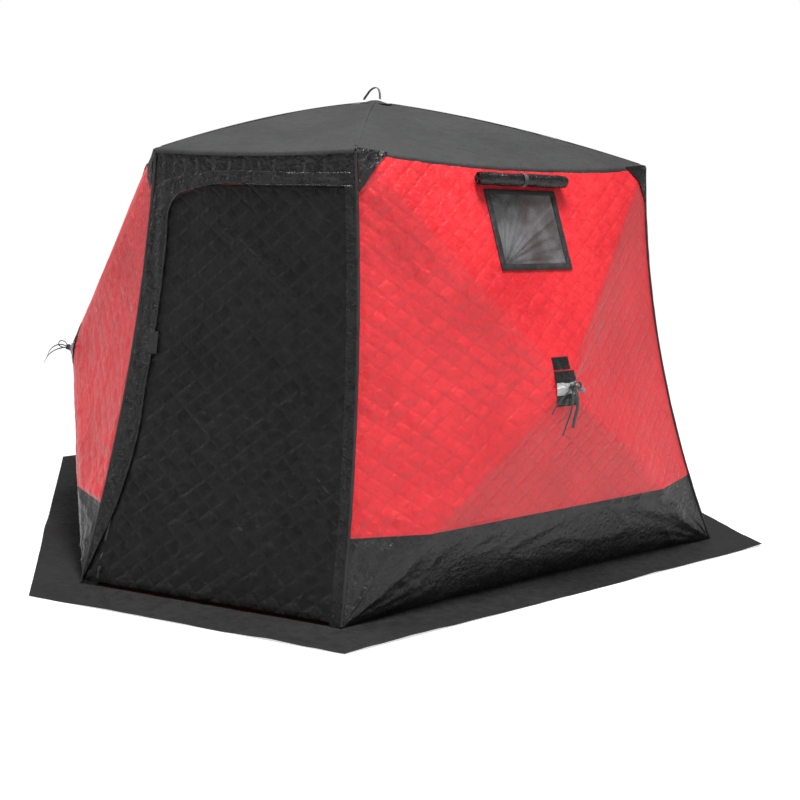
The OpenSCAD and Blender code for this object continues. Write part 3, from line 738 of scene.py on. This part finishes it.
def make_gussets(i):
    """The roof cloth's dark corner pieces, folded over the ridge at each end of a wall's eaves."""
    for k in (0, 1):
        e = eave(i + k)
        ridge_tip = e + unit(hub(i) - e) * GUSSET_RIDGE
        side_tip = eave_line(i, k + GUSSET_SIDE * (1 - 2 * k))
        foot_tip = seam(i + k, 1 - GUSSET_DROP / EAVES_H) + edge_gap(i, k)
        for kind, tip in (("top", side_tip), (f"side{k}", foot_tip)):
            u = linspace(0.02, 1, 22)[:, None, None]
            v = shares(22)[None, :, None]
            base = mix(e + edge_gap(i, k), mix(tip, ridge_tip, v), u)
            outer, uv = lifted(i, base, smooth(u[..., 0] * GUSSET_RIDGE / EASE), 0.004)
            x, y = uv[..., 0], uv[..., 1]
            cloth = 0.0016 * (noise(x * 28, y * 34, i + k) + crease(x * 30, y * 22, 5))
            outer = outer + normal(i) * cloth[..., None]
            piece = sheet(f"gusset_{HUB_WALLS[i]}_{kind}_{k}", outer, normal(i) * 0.0016, uv, FLAP,
                          base)
            ride_facet(piece, i, kind, "corner_gussets" if (k, kind) == (0, "top") else None)


# ---- windows: x along the wall from the window's middle, y up from the eaves' middle ----

FRAME_X, FRAME_Y = (-0.185, 0.185), (-0.485, -0.145)
PANE_HALF, PANE_LOW, PANE_TOP = 0.159, -0.459, -0.165
LAP = 0.004  # how far the pane goes under its frame
FRAME_LENGTH = 1.36
ROLL_HALF, ROLL_R, ROLL_Y, ROLL_Z, TIE_R = 0.225, 0.0255, -0.115, 0.0335, 0.0262
ROLL_SIDES = 40


def panel_axes(i):
    ey = unit(eave_mid(i) - hub(i))
    ez = cross(along(i), ey)
    return along(i), ey, ez if ez @ normal(i) > 0 else -ez


def on_panel(i, x, y, z):
    """Points over wall i's upper facet, z above its cloth."""
    ex, ey, ez = panel_axes(i)
    base = eave_mid(i) + ex * (x + WINDOW_AT)[..., None] + ey * y[..., None]
    return lifted(i, base, 1.0)[0] + ez * z[..., None]


def window_frame(i, name):
    x, y = rectangle(FRAME_X, FRAME_Y, 75, 69)
    inside = (np.abs(x) < PANE_HALF - 0.002) & (y > PANE_LOW + 0.002) & (y < PANE_TOP - 0.002)
    cells = ~(inside[:-1, :-1] | inside[1:, 1:] | inside[1:, :-1] | inside[:-1, 1:])
    round_ = 0.0016 * sin(np.clip(rim(x, y, FRAME_X, FRAME_Y) / 0.020, 0, 1) * pi)
    pucker = 0.0012 * noise(x * 60, y * 60, 3)
    pucker = pucker + 0.0010 * np.abs(sin(x * 210)) * (np.abs(y) > 0.44)
    outer = on_panel(i, x, y, 0.0050 + round_ + pucker)
    piece = sheet("window_frame_" + name, outer, panel_axes(i)[2] * 0.004, pair(x, y), TAPE,
                  outer, mask=cells, strip=FRAME_LENGTH)
    ride_facet(piece, i, "top", "window_frames")


def window_pane(i, name):
    """The pane's creases fan out from its lower corner next to the door."""
    xs, ys = (-PANE_HALF - LAP, PANE_HALF + LAP), (PANE_LOW - LAP, PANE_TOP + LAP)
    x, y = rectangle(xs, ys, 80, 74)
    dx, dy = x * (1 - 2 * DOOR_END[i]) + PANE_HALF, y - PANE_LOW
    turn, far = np.arctan2(dy, dx), hypot(dx, dy)
    folds = noise(turn * 9, far * 3, 2) * 0.003 * smooth(far / 0.06)
    folds = folds + 0.004 * crease(turn * 11, far * 4, 4)
    dent = -0.004 * sin((x + PANE_HALF) / (2 * PANE_HALF) * pi)
    dent = dent * sin((y - PANE_LOW) / (PANE_TOP - PANE_LOW) * pi)
    ease = smooth(rim(x, y, xs, ys) / 0.02)
    outer = on_panel(i, x, y, 0.0018 + ease * (folds + dent - 0.002))
    piece = sheet("window_pane_" + name, outer, panel_axes(i)[2] * 0.0008, pair(x, y), VINYL,
                  outer)
    ride_facet(piece, i, "top", "window_panes")


def window_roll(i, name):
    """The rolled-up cover, whose cloth's turns show at both ends, and its tie."""
    ex, ey, ez = panel_axes(i)
    turns = linspace(0, 2 * pi, ROLL_SIDES, endpoint=False)
    u, a = np.meshgrid(linspace(-ROLL_HALF, ROLL_HALF, 84), turns, indexing="ij")
    radius = ROLL_R + 0.0018 * noise(u * 30, cos(a) * 2 + 5, 1)
    radius = radius + 0.0012 * crease(u * 16, sin(a) * 3, 2)
    tied, lip = exp(-(u / 0.014) ** 2), exp(-((a - 4.4) / 0.12) ** 2)
    radius = radius - 0.0045 * tied + 0.0012 * lip
    sway = 0.002 * noise(u * 5, 0 * u, 8)
    axis = eave_mid(i) + ex * (u + WINDOW_AT)[..., None] + ey * (ROLL_Y + sway)[..., None]
    axis = axis + ez * ROLL_Z
    body = axis + ey * (radius * cos(a))[..., None] + ez * (radius * sin(a))[..., None]
    rings, uv = list(body), list(pair(u, a * 0.0275))
    flat = [pair(s, turns * 0.01) for s in linspace(0, 0.02, 7)]
    for end in (0, -1):
        centre = axis[end].mean(0)
        ways = []
        for share in (0.9, 0.78, 0.66, 0.54, 0.42, 0.3, 0.18):
            spiral = 0.0025 * sin(2 * pi * (share * 4.2 - turns / (2 * pi)))
            out = spiral * (1 if end else -1) - 0.001
            ways.append(mix(centre, body[end], share) + ex * out[:, None])
        rings = rings + ways if end else ways[::-1] + rings
        uv = uv + flat if end else flat[::-1] + uv
    piece = tube("window_roll_" + name, array(rings), array(uv), FLAP, caps=False)
    ride_facet(piece, i, "top", "window_covers")
    centre = eave_mid(i) + ex * WINDOW_AT + ey * ROLL_Y + ez * ROLL_Z
    path = [centre + ey * TIE_R * cos(t) + ez * TIE_R * sin(t)
            for t in linspace(math.radians(-62), math.radians(242), 40)]
    piece = strap("window_tie_" + name, path, 0.018, ex, WEBBING)
    ride_facet(piece, i, "top", "window_cover_ties")


# ---- wall hubs: patches and pull straps ----


def facet_height(i, x, y):
    """The depth of the pyramid's surface below the hub's point, along the wall's normal."""
    depth = np.zeros(np.shape(x))
    for kind in ("top", "low", "side0", "side1"):
        a, b = facet_ends(i, kind)
        n = cross(b - a, hub(i) - a)
        depth = np.minimum(depth, -(n @ along(i) * x + n @ rise(i) * y) / (n @ normal(i)))
    return depth


def near_hub(i, x, y, z):
    """Points at x, y in the wall's plane from the hub, z above the cloth there."""
    wx, wy = wall_xy(i, hub(i))
    out = facet_height(i, x, y) + relief(i, x + wx, y + wy) + z
    return hub(i) + along(i) * x[..., None] + rise(i) * y[..., None] + normal(i) * out[..., None]


# x and y from the hub, the facet it rides (None: the hub), and how far it stands proud
PATCHES = (("upper", (-0.058, 0.030), (0.072, 0.122), "top", FLAP, 0.0022),
           ("middle", (-0.058, 0.050), (0.015, 0.066), "top", FLAP, 0.0024),
           ("light", (-0.058, 0.050), (-0.030, 0.020), None, SHINY, 0.0062),
           ("lower", (-0.056, 0.048), (-0.074, -0.026), "low", FLAP, 0.0024))


def make_patches(i):
    name = HUB_WALLS[i]
    for kind, xs, ys, facet, paint, proud in PATCHES:
        x, y = rectangle(xs, ys, 40, 24)
        hem = 0.0012 * exp(-((rim(x, y, xs, ys) - 0.006) / 0.003) ** 2)
        z = proud + 0.0008 * noise(x * 60, y * 90, 2) - hem
        if kind == "light":  # it is gathered under the knot
            r, tug = hypot(x, y), exp(-((x / 0.03) ** 2 + (y / 0.03) ** 2))
            z = z + 0.0026 * noise(np.arctan2(y, x) * 5, r * 20, 6) * smooth(r / 0.02) + 0.003 * tug
            y = y * (1 - 0.18 * exp(-(x / 0.02) ** 2))
        x = x * (1 - 2 * DOOR_END[i])
        outer = near_hub(i, x, y, z)
        piece = sheet(f"hub_patch_{kind}_{name}", outer, normal(i) * 0.0014, pair(x, y), paint,
                      outer)
        if facet:
            ride_facet(piece, i, facet)
        else:
            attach(piece, "hub_" + name)


# In mm, a tail's width and its path from the knot: away from the door, up the wall, out of it.
# The first one stands for the CAD's strap. A loop stays with the hub, and the rest swing
TAILS = (
    ("left", 8, [(-4, -4, 4), (-30, -18, 10), (-62, -44, 4), (-84, -74, -10), (-96, -101, -20)]),
    ("long", 9, [(-2, -8, 6), (-12, -40, 14), (-20, -90, 10), (-40, -140, 0), (-58, -186, -12)]),
    ("wide", 18, [(4, -8, 8), (12, -40, 16), (10, -85, 12), (-2, -125, 4), (-8, -160, -4)]),
    ("loop", 11, [(2, 4, 6), (18, 18, 12), (40, 12, 10), (38, -6, 10), (16, -6, 12), (2, -2, 8)]))
LEFT_WALL_TAILS = (
    ("long", 14, [(0, -4, 4), (6, -12, 30), (12, -30, 60), (20, -60, 85), (24, -98, 98)]),
    ("short", 14, [(0, 0, 6), (-8, 6, 34), (-12, -6, 62), (-10, -30, 80), (-6, -64, 88)]),
    ("loop", 10, [(0, 6, 4), (4, 20, 20), (0, 22, 40), (-6, 4, 46), (-4, -6, 24), (0, -4, 6)]))
GREY_END = [(8, 0, 2), (34, -6, 2), (60, -14, -4), (83, -22, -14)]
KNOT_OUT, KNOT_R, KNOT_WAVE, MM = 0.016, 9.5, 4.5, 1000


def make_strap(i):
    """The knotted pull strap: a knot of webbing round the hub's boss, and its loose tails."""
    name = HUB_WALLS[i]
    ex, ey, ez = along(i) * (1 - 2 * DOOR_END[i]), rise(i), normal(i)

    def at(path):
        centre = hub(i) + ez * KNOT_OUT
        return [centre + ex * x + ey * y + ez * z for x, y, z in array(path) / MM]

    knot = []
    for t in linspace(0, 2 * pi, 110):
        r = KNOT_R + KNOT_WAVE * cos(3 * t)
        knot.append((r * cos(2 * t), r * 0.85 * sin(2 * t), 2 + 6 * sin(3 * t)))
    fixed = [strap(f"pull_knot_{name}", at(knot), 0.009, ez, WEBBING, thick=0.0045)]
    tails = {}
    for kind, width, path in LEFT_WALL_TAILS if i == 4 else TAILS:
        tails[kind] = strap(f"pull_strap_{kind}_{name}", at(path), width / MM, ex + ey * 0.2,
                            WEBBING, curl=0.002)
    fixed += [tails.pop("loop"),
              strap(f"pull_end_{name}", at(GREY_END), 0.020, ey, GREY_WEBBING, curl=0.001)]
    for piece in fixed:
        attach(piece, "hub_" + name)
    for piece in tails.values():
        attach(piece, "pull_strap_" + name)
    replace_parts(list(tails.values())[0], "pull_strap_" + name)


# ---- roof ----

ROOF_ROWS, ROOF_END = 100, 0.955  # a panel's rows go this share of the way to the peak
RIDGE_BOW, PANEL_SAG, RIDGE_DIP = 0.030, 0.012, 0.003
HEM_OUT, HEM_DROPS = 0.0075, (0.020, 0.010)
FELL_HALF = 0.008  # half of a ridge seam's width
CAP_RADII, CAP_STITCHES = (0.006, 0.104), (0.030, 0.092)
ROOF_BLEND = 0.2308
LOOP = [(-0.060, 0.009), (-0.046, 0.028), (-0.026, 0.052), (-0.004, 0.064), (0.014, 0.060),
        (0.024, 0.040), (0.026, 0.010)]  # across the cap, and above the peak


def ride_roof(piece, i):
    blend_to_hub(piece, eave(i), eave(i + 1), PEAK, "roof_hub", ROOF_BLEND)


def roof_panel(i):
    s, rows = shares(100 if i in DOORS else 150), linspace(0, ROOF_END, ROOF_ROWS)
    edge = eave_line(i, s)
    width = np.linalg.norm(edge[-1] - edge[0])
    base = mix(edge[None], PEAK[None, None], rows[:, None, None])
    v, ss = np.meshgrid(rows, s, indexing="ij")
    ridge = np.minimum(ss, 1 - ss) * (1 - v) * width
    bow = RIDGE_BOW * arch(v) * exp(-ridge / 0.28)
    sag = -PANEL_SAG * sin(pi * ss) * sin(pi * v)
    dip = -RIDGE_DIP * exp(-ridge / 0.014) * smooth(v / 0.05)
    x, y = base[..., 0], base[..., 1]
    cloth = 0.0016 * noise(x * 4, y * 4, 2) + 0.0010 * crease(x * 7, y * 7, 6)
    cloth = cloth + 0.0022 * exp(-v * 9) * noise(ss * 34, v * 3, i + 40)
    outer = base + UP * ((bow + sag + cloth) * smooth(v / 0.04) + dip)[..., None]
    # A hem turned down over the walls' tops
    out = unit(edge.mean(0) * LEVEL)
    hem = []
    for drop in HEM_DROPS:
        wave = 0.09 * noise(s * 40, drop * 50 + 0 * s, i)
        hem.append(edge - UP * drop + out * HEM_OUT * (1 + drop * 8 + wave)[:, None])
    back = np.broadcast_to(UP * 0.0035, (len(hem) + ROOF_ROWS, 1, 3)).copy()
    back[:len(hem)] = out * 0.002
    run = concatenate([[-0.02, -0.01], rows * np.linalg.norm(PEAK - edge.mean(0))])
    piece = sheet(f"roof_panel_{i}", concatenate([array(hem), outer]), back,
                  pair((s - 0.5)[None] * width, run[:, None]), ROOF,
                  concatenate([array(hem), base]))
    ride_roof(piece, i)
    if i == 0:
        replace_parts(piece, "roof_canopy")


def roof_seam(i):
    """The flat-felled seam along a ridge."""
    v, across = linspace(0.02, 0.94, 90)[:, None], linspace(-1, 1, 7)[None]
    line = mix(eave(i)[None], PEAK[None], v) + UP * (RIDGE_BOW * arch(v) + 0.0006)
    side = unit(cross(UP, eave(i) * LEVEL))
    grid = line[:, None] + side * (across * FELL_HALF)[..., None]
    grid = grid - UP * (np.abs(across) ** 1.5 * 0.0018)[..., None]
    piece = sheet(f"roof_seam_{i}", grid, UP * 0.0012, pair(across * FELL_HALF, v * 1.4), ROOF,
                  grid)
    ride_roof(piece, i)


def roof_cap():
    """The round cap over the roof hub, with two rows of stitches, and its pull loop."""
    turn = linspace(0, 2 * pi, 97)
    r, a = np.meshgrid(linspace(*CAP_RADII, 34), turn, indexing="ij")
    slope = (PEAK_H - EAVES_H) / np.linalg.norm(eave(0)[:2])
    z = PEAK_H + 0.004 - slope * r * smooth(r / 0.06)
    z = z + 0.0008 * noise(cos(a) * 6, r * 60 + sin(a) * 6, 4)
    for ring in CAP_STITCHES:
        z = z - 0.0014 * exp(-((r - ring) / 0.0016) ** 2)
    outer = np.stack([r * cos(a), r * sin(a), z], -1)
    sheet("roof_cap_disc", outer, UP * 0.002, outer[..., :2].copy(), ROOF, outer,
          body="roof_hub", node="roof_cap")
    path = [(x, 0, PEAK_H + z) for x, z in LOOP]
    piece = strap("pull_loop", path, 0.024, (0, 1, 0), WEBBING, thick=0.0040, curl=0.001)
    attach(piece, "roof_pull_loop")
    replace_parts(piece, "roof_pull_loop")


# ---- door walls: x from the wall's middle, y up its slope ----

WALL_RUN = float(np.linalg.norm(eave_mid(5) - mid(5)))  # a door wall's height along its slope
ZIP_STRIP, HINGE_STRIP, SILL, LINTEL, LEAF_TOP = 0.090, 0.042, 0.018, 1.606, 1.600
HINGE_TOP, HINGE_BLEND = 1.57, 0.12
STRIP_ROWS, HEAD_ROWS, ZIP_COLUMNS, HINGE_COLUMNS, MIDDLE_COLUMNS = 110, 18, 12, 8, 130
SURROUND_LENGTH, FLAP_LENGTH, FLAP_POINTS = 4.2, 2.55, 300
HOOK_X, HOOK_Y, HOOK_SHIFT = (-0.372, -0.330), (0.915, 1.006), 0.042
ZIP_HALF, ZIP_LOW, ZIP_HIGH, ZIP_IN = 0.0075, 0.030, 1.36, 0.030
# The storm flap's free edge, and its outer edge from where it leaves the corner seam
FREE_EDGE = [(-0.551, 0.020), (-0.512, 0.14), (-0.453, 0.344), (-0.414, 0.585),
             (-0.406, 0.782), (-0.389, 0.98), (-0.376, 1.178), (-0.364, 1.337),
             (-0.362, 1.440), (-0.352, 1.510), (-0.315, 1.556), (-0.235, 1.582),
             (-0.114, 1.600), (0.051, 1.597), (0.219, 1.597), (0.422, 1.596)]
OUTER_EDGE = [(-0.425, 1.580), (-0.352, 1.622), (-0.250, 1.640), (-0.117, 1.655),
              (0.045, 1.653), (0.213, 1.650), (0.430, 1.651)]
# Long folds of the leaf: two ends, depth and width
LEAF_FOLDS = (((-0.204, 1.506), (0.351, 1.072), 0.006, 0.020),
              ((0.362, 1.521), (0.188, 1.359), 0.004, 0.014),
              ((-0.36, 0.9), (0.1, 0.42), 0.004, 0.024))
LEAF_STARS = ((-0.403, 0.499), (-0.219, 0.372), (-0.147, 0.151), (0.071, 0.331),
              (0.224, 0.092), (0.389, 0.080))  # where creases meet


def half_width(y):
    return DOOR_W / 2 * (1 - (1 - TAPER) * np.asarray(y) / WALL_RUN)


def on_door(i, x, y, z=0.0):
    """Points on door wall i, z out of it."""
    x, y, z = (np.asarray(v)[..., None] for v in np.broadcast_arrays(x, y, z))
    sag = SEAM_SAG * arch(np.clip(y / WALL_RUN, 0, 1))
    pull = array([0, -np.sign(corner(i)[1]), 0])
    return mid(i) + along(i) * x + rise(i) * y + pull * sag + normal(i) * z


def left_edge(y):
    """The door leaf's free edge, which follows the storm flap's edge into its top."""
    p = resample(FREE_EDGE[:12], 200)
    return np.interp(y, p[:, 1], p[:, 0]) - 0.006


def leaf_relief(x, y):
    """The leaf's quilting and creases, which are deeper low down, and its gathered hem."""
    low = smooth((1.05 - y) / 0.6)
    d = puffs(x, y) * (0.0004 + 0.0028 * low)
    d = d + 0.0060 * low * crease(x * 7 + y * 3, y * 7 - x * 4, 21)
    d = d + 0.0016 * noise(x * 5, y * 5, 22)
    for a, b, deep, wide in LEAF_FOLDS:
        far, t = to_line(x, y, a, b)
        d = d + deep * exp(-(far / wide) ** 2) * sin(pi * np.clip(t, 0.02, 0.98)) ** 0.5
    for sx, sy in LEAF_STARS:
        far, turn = hypot(x - sx, (y - sy) * 1.3), np.arctan2(y - sy, x - sx)
        d = d + 0.006 * exp(-(far / 0.10) ** 2) * noise(turn * 2.2, far * 14, 23)
    hem = smooth((0.075 - y) / 0.05)
    return d + hem * (0.0032 * sin(x * 290 + 3 * noise(x * 9, y, 24)) + 0.003)


def door_leaf(i, name):
    rows, share = linspace(SILL, LEAF_TOP, 150), shares(104)
    free, hinged = left_edge(rows)[:, None], (half_width(rows) - HINGE_STRIP - 0.0005)[:, None]
    x, y = mix(free, hinged, share[None]), np.repeat(rows[:, None], len(share), 1)
    edge = rim(x, y, (x[:, :1], x[:, -1:]), (SILL - 0.01, LEAF_TOP))
    outer = on_door(i, x, y, leaf_relief(x, y) * smooth(edge / 0.02) + 0.001)
    piece = sheet("door_leaf_" + name, outer, normal(i) * SHEET_T, pair(x, y), DOOR,
                  on_door(i, x, y))
    low, high = (on_door(i, half_width(y) - HINGE_STRIP, y) for y in (0, HINGE_TOP))
    away = unit(cross(normal(i), high - low))
    if away @ along(i) > 0:
        away = -away
    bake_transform(piece)
    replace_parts(piece, "door_" + name)


def door_surround(i, name):
    """A strip on each side of the leaf, and the gathered header over it."""
    rows = concatenate([linspace(0.004, LINTEL, STRIP_ROWS),
                           linspace(LINTEL, WALL_RUN - 0.006, HEAD_ROWS)[1:]])
    hw = (half_width(rows) - 0.005)[:, None]
    left = mix(-hw, -hw + ZIP_STRIP - 0.022, shares(ZIP_COLUMNS)[None])
    right = mix(hw - HINGE_STRIP + 0.001, hw, shares(HINGE_COLUMNS)[None])
    middle = mix(left[:, -1:], right[:, :1], shares(MIDDLE_COLUMNS)[None])
    x = concatenate([left, middle[:, 1:-1], right], 1)
    y = np.repeat(rows[:, None], x.shape[1], 1)
    sag = DOOR_EAVES * EAVES_SAG * (1 - (x / half_width(y)) ** 2)
    y = y - sag * smooth((y - LINTEL) / (WALL_RUN - LINTEL))
    gather = smooth((y - LINTEL + 0.02) / 0.03) * (0.0026 * noise(x * 62, y * 7, 32) + 0.001)
    ease = smooth(np.minimum(hw - np.abs(x), 0.02) / 0.02) * smooth((WALL_RUN - y) / 0.02)
    z = (0.0016 * noise(x * 30, y * 5, 31) + gather) * ease
    by_hinge = x > half_width(y) - HINGE_STRIP - 0.01
    z = z + 0.0045 * by_hinge * smooth((LINTEL - y) / 0.03 + 1)
    mask = np.ones((len(rows) - 1, x.shape[1] - 1), bool)
    mask[:STRIP_ROWS - 1, ZIP_COLUMNS - 1:ZIP_COLUMNS + MIDDLE_COLUMNS - 2] = False
    sheet("door_frame_" + name, on_door(i, x, y, z), normal(i) * 0.003, pair(x, y), FLAP,
          on_door(i, x, y), mask, SURROUND_LENGTH, "shell",
          "door_surround_" + name)


def storm_flap(i, name):
    """One band up the zip side and over the top, with a turned edge."""
    straight = [(-half_width(y) + 0.006, y) for _, y in FREE_EDGE[:-len(OUTER_EDGE)]]
    outside = array(straight + OUTER_EDGE)
    both = resample(concatenate([array(FREE_EDGE), outside], 1), FLAP_POINTS)
    across = concatenate([linspace(0, 0.86, 12), linspace(0.88, 1, 9)])[None]
    grid = mix(both[:, None, 2:], both[:, None, :2], across[..., None])
    x, y = grid[..., 0], grid[..., 1]
    run = linspace(0, 2.6, FLAP_POINTS)[:, None]
    z = 0.0055 + 0.0022 * noise(run * 13, across * 2.5, 41)
    z = z + 0.0018 * crease(run * 9, across * 3, 42) + 0.0012 * noise(run * 60, across, 43)
    z = z + 0.0042 * exp(-((across - 0.97) / 0.035) ** 2)
    z = z * smooth((across + 0.06) / 0.12) * (0.25 + 0.75 * smooth((0.434 - x) / 0.05))
    outer = on_door(i, x, y, z + 0.0012)
    sheet("storm_flap_" + name, outer, normal(i) * 0.0022, pair(run, across * 0.09), FLAP,
          outer, strip=FLAP_LENGTH, body="shell")


def hook_patch(i, name):
    """The hook-and-loop patch on the storm flap's free edge."""
    u, v = rectangle(HOOK_X, HOOK_Y, 14, 26)
    z = 0.0102 + 0.0012 * smooth(rim(u, v, HOOK_X, HOOK_Y) / 0.004)
    outer = on_door(i, u - HOOK_SHIFT, v, z + 0.0005 * noise(u * 300, v * 300, 3))
    sheet("hook_patch_" + name, outer, normal(i) * 0.0018, pair(u, v), HOOKS, outer,
          body="shell")


def zip_tape(i, name):
    rows = linspace(ZIP_LOW, ZIP_HIGH, 120)[:, None]
    across = linspace(-ZIP_HALF, ZIP_HALF, 9)[None]
    x = -half_width(rows) + ZIP_STRIP - ZIP_IN + across
    outer = on_door(i, x, rows, 0.0024 + 0.0014 * exp(-(across / 0.003) ** 2))
    sheet("zip_tape_" + name, outer, normal(i) * 0.0012, pair(rows, across), ZIP, outer,
          body="shell", node="zipper_" + name)


# ---- corner seams and skirt ----

SKIRT_IN, SKIRT_OUT, SKIRT_WIDTH = -0.055, 0.186, 0.23
SKIRT_COLUMNS, SKIRT_ROWS = 130, 22
SKIRT_T = 0.0028


def corner_binding(i):
    """A folded binding down the seam between two walls' edges."""
    t = linspace(0.006, 0.992, 130)
    out = unit(corner(i) * LEVEL)
    side = unit(cross(UP, out))
    path = seam(i, t) + out * 0.001
    turn = linspace(0, 2 * pi, 14, endpoint=False)
    wobble = (1 + 0.12 * noise(t * 40, 0 * t, i))[:, None]
    rings = np.stack([path + out * (0.0055 * cos(a) * wobble)
                      + side * (0.0062 * sin(a) * wobble) for a in turn], 1)
    piece = tube(f"seam_binding_{i}", rings, pair(t[:, None] * 1.7, turn[None] * 0.006), TAPE)
    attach(piece, "shell")


def make_skirt():
    def mitre(i):
        a, b = outward((i + 5) % 6), outward(i)
        return (a + b) / (1 + a @ b)

    over = shares(SKIRT_ROWS)
    rows, flats, run = [], [], 0.0
    for i in range(6):
        side = np.linalg.norm(corner(i + 1) - corner(i))
        for s in linspace(0, 1, SKIRT_COLUMNS, endpoint=False):
            way = mix(mitre(i), mitre((i + 1) % 6), s)
            base = mix(corner(i), corner(i + 1), s)
            rows.append(base[None] + way[None] * mix(SKIRT_IN, SKIRT_OUT, over)[:, None])
            flats.append(pair(run + s * side, over * SKIRT_WIDTH))
        run += side
    rows.append(rows[0])
    flats.append(pair(run, over * SKIRT_WIDTH))
    grid, uv, over = array(rows), array(flats), over[None]
    turn = 2 * pi * uv[..., 0] / run
    cx, cy = cos(turn), sin(turn)
    wave = 0.5 + 0.5 * noise(cx * 9 + 20, cy * 9 + 20, 3)
    fine = 0.5 + 0.5 * noise(cx * 30 + 40, cy * 30 + 40 + over, 5)
    z = 0.0034 + smooth((over - 0.25) / 0.75) * (0.0075 * wave ** 2 + 0.0022 * fine)
    for i in range(6):
        far = np.linalg.norm(grid - (corner(i) + mitre(i) * 0.1), axis=-1)
        z = z + 0.002 * exp(-(far / 0.05) ** 2)
    # One edge lifts a little, on the left near the front
    tip = corner(4) * 0.35 + corner(5) * 0.65 + outward(4) * 0.17
    lift = exp(-(np.linalg.norm(grid[..., :2] - tip[:2], axis=-1) / 0.13) ** 2)
    outer = grid + UP * (z + 0.016 * lift * over)[..., None]
    sheet("skirt_sheet", outer, UP * SKIRT_T, uv, SKIRT, grid,
          strip=run, body="shell", node="skirt")


# ---- everything together ----

for wall in HUB_WALLS:
    make_hub_wall(wall)
    make_band(wall)
    make_gussets(wall)
    if wall in WINDOW_WALLS:
        for make in (window_frame, window_pane, window_roll):
            make(wall, HUB_WALLS[wall])
    make_patches(wall)
    make_strap(wall)
for panel in range(6):
    roof_panel(panel)
    roof_seam(panel)
roof_cap()
for door, side_name in DOORS.items():
    for make in (door_leaf, door_surround, storm_flap, hook_patch, zip_tape):
        make(door, side_name)
for panel in range(6):
    corner_binding(panel)
make_skirt()

PAINTS = {"nylon": NYLON, "steel": STEEL, "fibreglass": RODS}
SLOTS = {part["node"]: part["material_slot"] for part in frame["record"]["subparts"]}
for node, thing in frame["nodes"].items():
    paint = NYLON if "slider" in node else PAINTS.get(SLOTS[node], NYLON)
    if not thing.data.materials:
        thing.data.materials.append(paint)
    for slot in thing.material_slots:
        slot.material = paint

# ---- the stage ----

FLOOR_HALF = 30.0
GLOW, FAR_GLOW, GLOW_FROM, GLOW_TO = 0.66, 0.90, 4.0, 9.0  # the floor is brighter further out
AMBIENT, BACKDROP = 0.26, 1.0
LIGHTS = (("key", (1.0, -1.6, 6.8), (0.5, -0.3, 0.9), 2.0, 820),
          ("left", (-6.0, -2.6, 4.2), (-0.6, -0.4, 1.0), 2.5, 90),
          ("right", (6.0, -4.2, 2.6), (0.6, -0.4, 0.9), 2.0, 55))


def make_floor():
    m = Paint("pale_floor", Specular_IOR_Level=0.1, Emission_Color=rgb(1.0, 1.0, 1.0))
    far = m.node("VectorMath")
    far.operation = "LENGTH"
    m.put(far.inputs[0], m.place)
    glow = m.ramp(far.outputs["Value"], GLOW_FROM, GLOW_TO, GLOW, FAR_GLOW)
    m.put(m.shader.inputs["Emission Strength"], glow)
    grain = m.noise(2.0, 2.0)
    color = m.blend(grain, rgb(0.48, 0.48, 0.48), rgb(0.52, 0.52, 0.52))
    paint = m.done(color, m.ramp(grain, 0.3, 0.7, 0.7, 0.8))
    x, y = rectangle((-FLOOR_HALF, FLOOR_HALF), (-FLOOR_HALF, FLOOR_HALF), 3, 3)
    top = np.stack([x, y, np.full_like(x, -0.0005)], -1)
    shell("floor", top, UP * 0.01, pair(x, y), paint)


def make_world():
    """A dim white sky, which the camera sees as plain white."""
    world = bpy.data.worlds.new("world")
    world.use_nodes = True
    tree = world.node_tree
    sky, seen = tree.nodes["Background"], tree.nodes.new("ShaderNodeBackground")
    for node, strength in ((sky, AMBIENT), (seen, BACKDROP)):
        node.inputs[0].default_value, node.inputs[1].default_value = rgb(1.0, 1.0, 1.0), strength
    which, path = tree.nodes.new("ShaderNodeMixShader"), tree.nodes.new("ShaderNodeLightPath")
    tree.links.new(path.outputs["Is Camera Ray"], which.inputs[0])
    tree.links.new(sky.outputs[0], which.inputs[1])
    tree.links.new(seen.outputs[0], which.inputs[2])
    tree.links.new(which.outputs[0], tree.nodes["World Output"].inputs[0])
    bpy.context.scene.world = world


def make_lights():
    for name, place, target, size, power in LIGHTS:
        data = bpy.data.lights.new(name, "AREA")
        data.shape, data.size, data.energy = "SQUARE", size, power
        turn = (Vector(target) - Vector(place)).to_track_quat("-Z", "Y").to_matrix().to_4x4()
        add_object(name, data).matrix_world = Matrix.Translation(place) @ turn


make_floor()
make_world()
make_lights()
bpy.context.scene.view_settings.view_transform = "Standard"

for row in SHEETS:
    print("SHEET", *row)
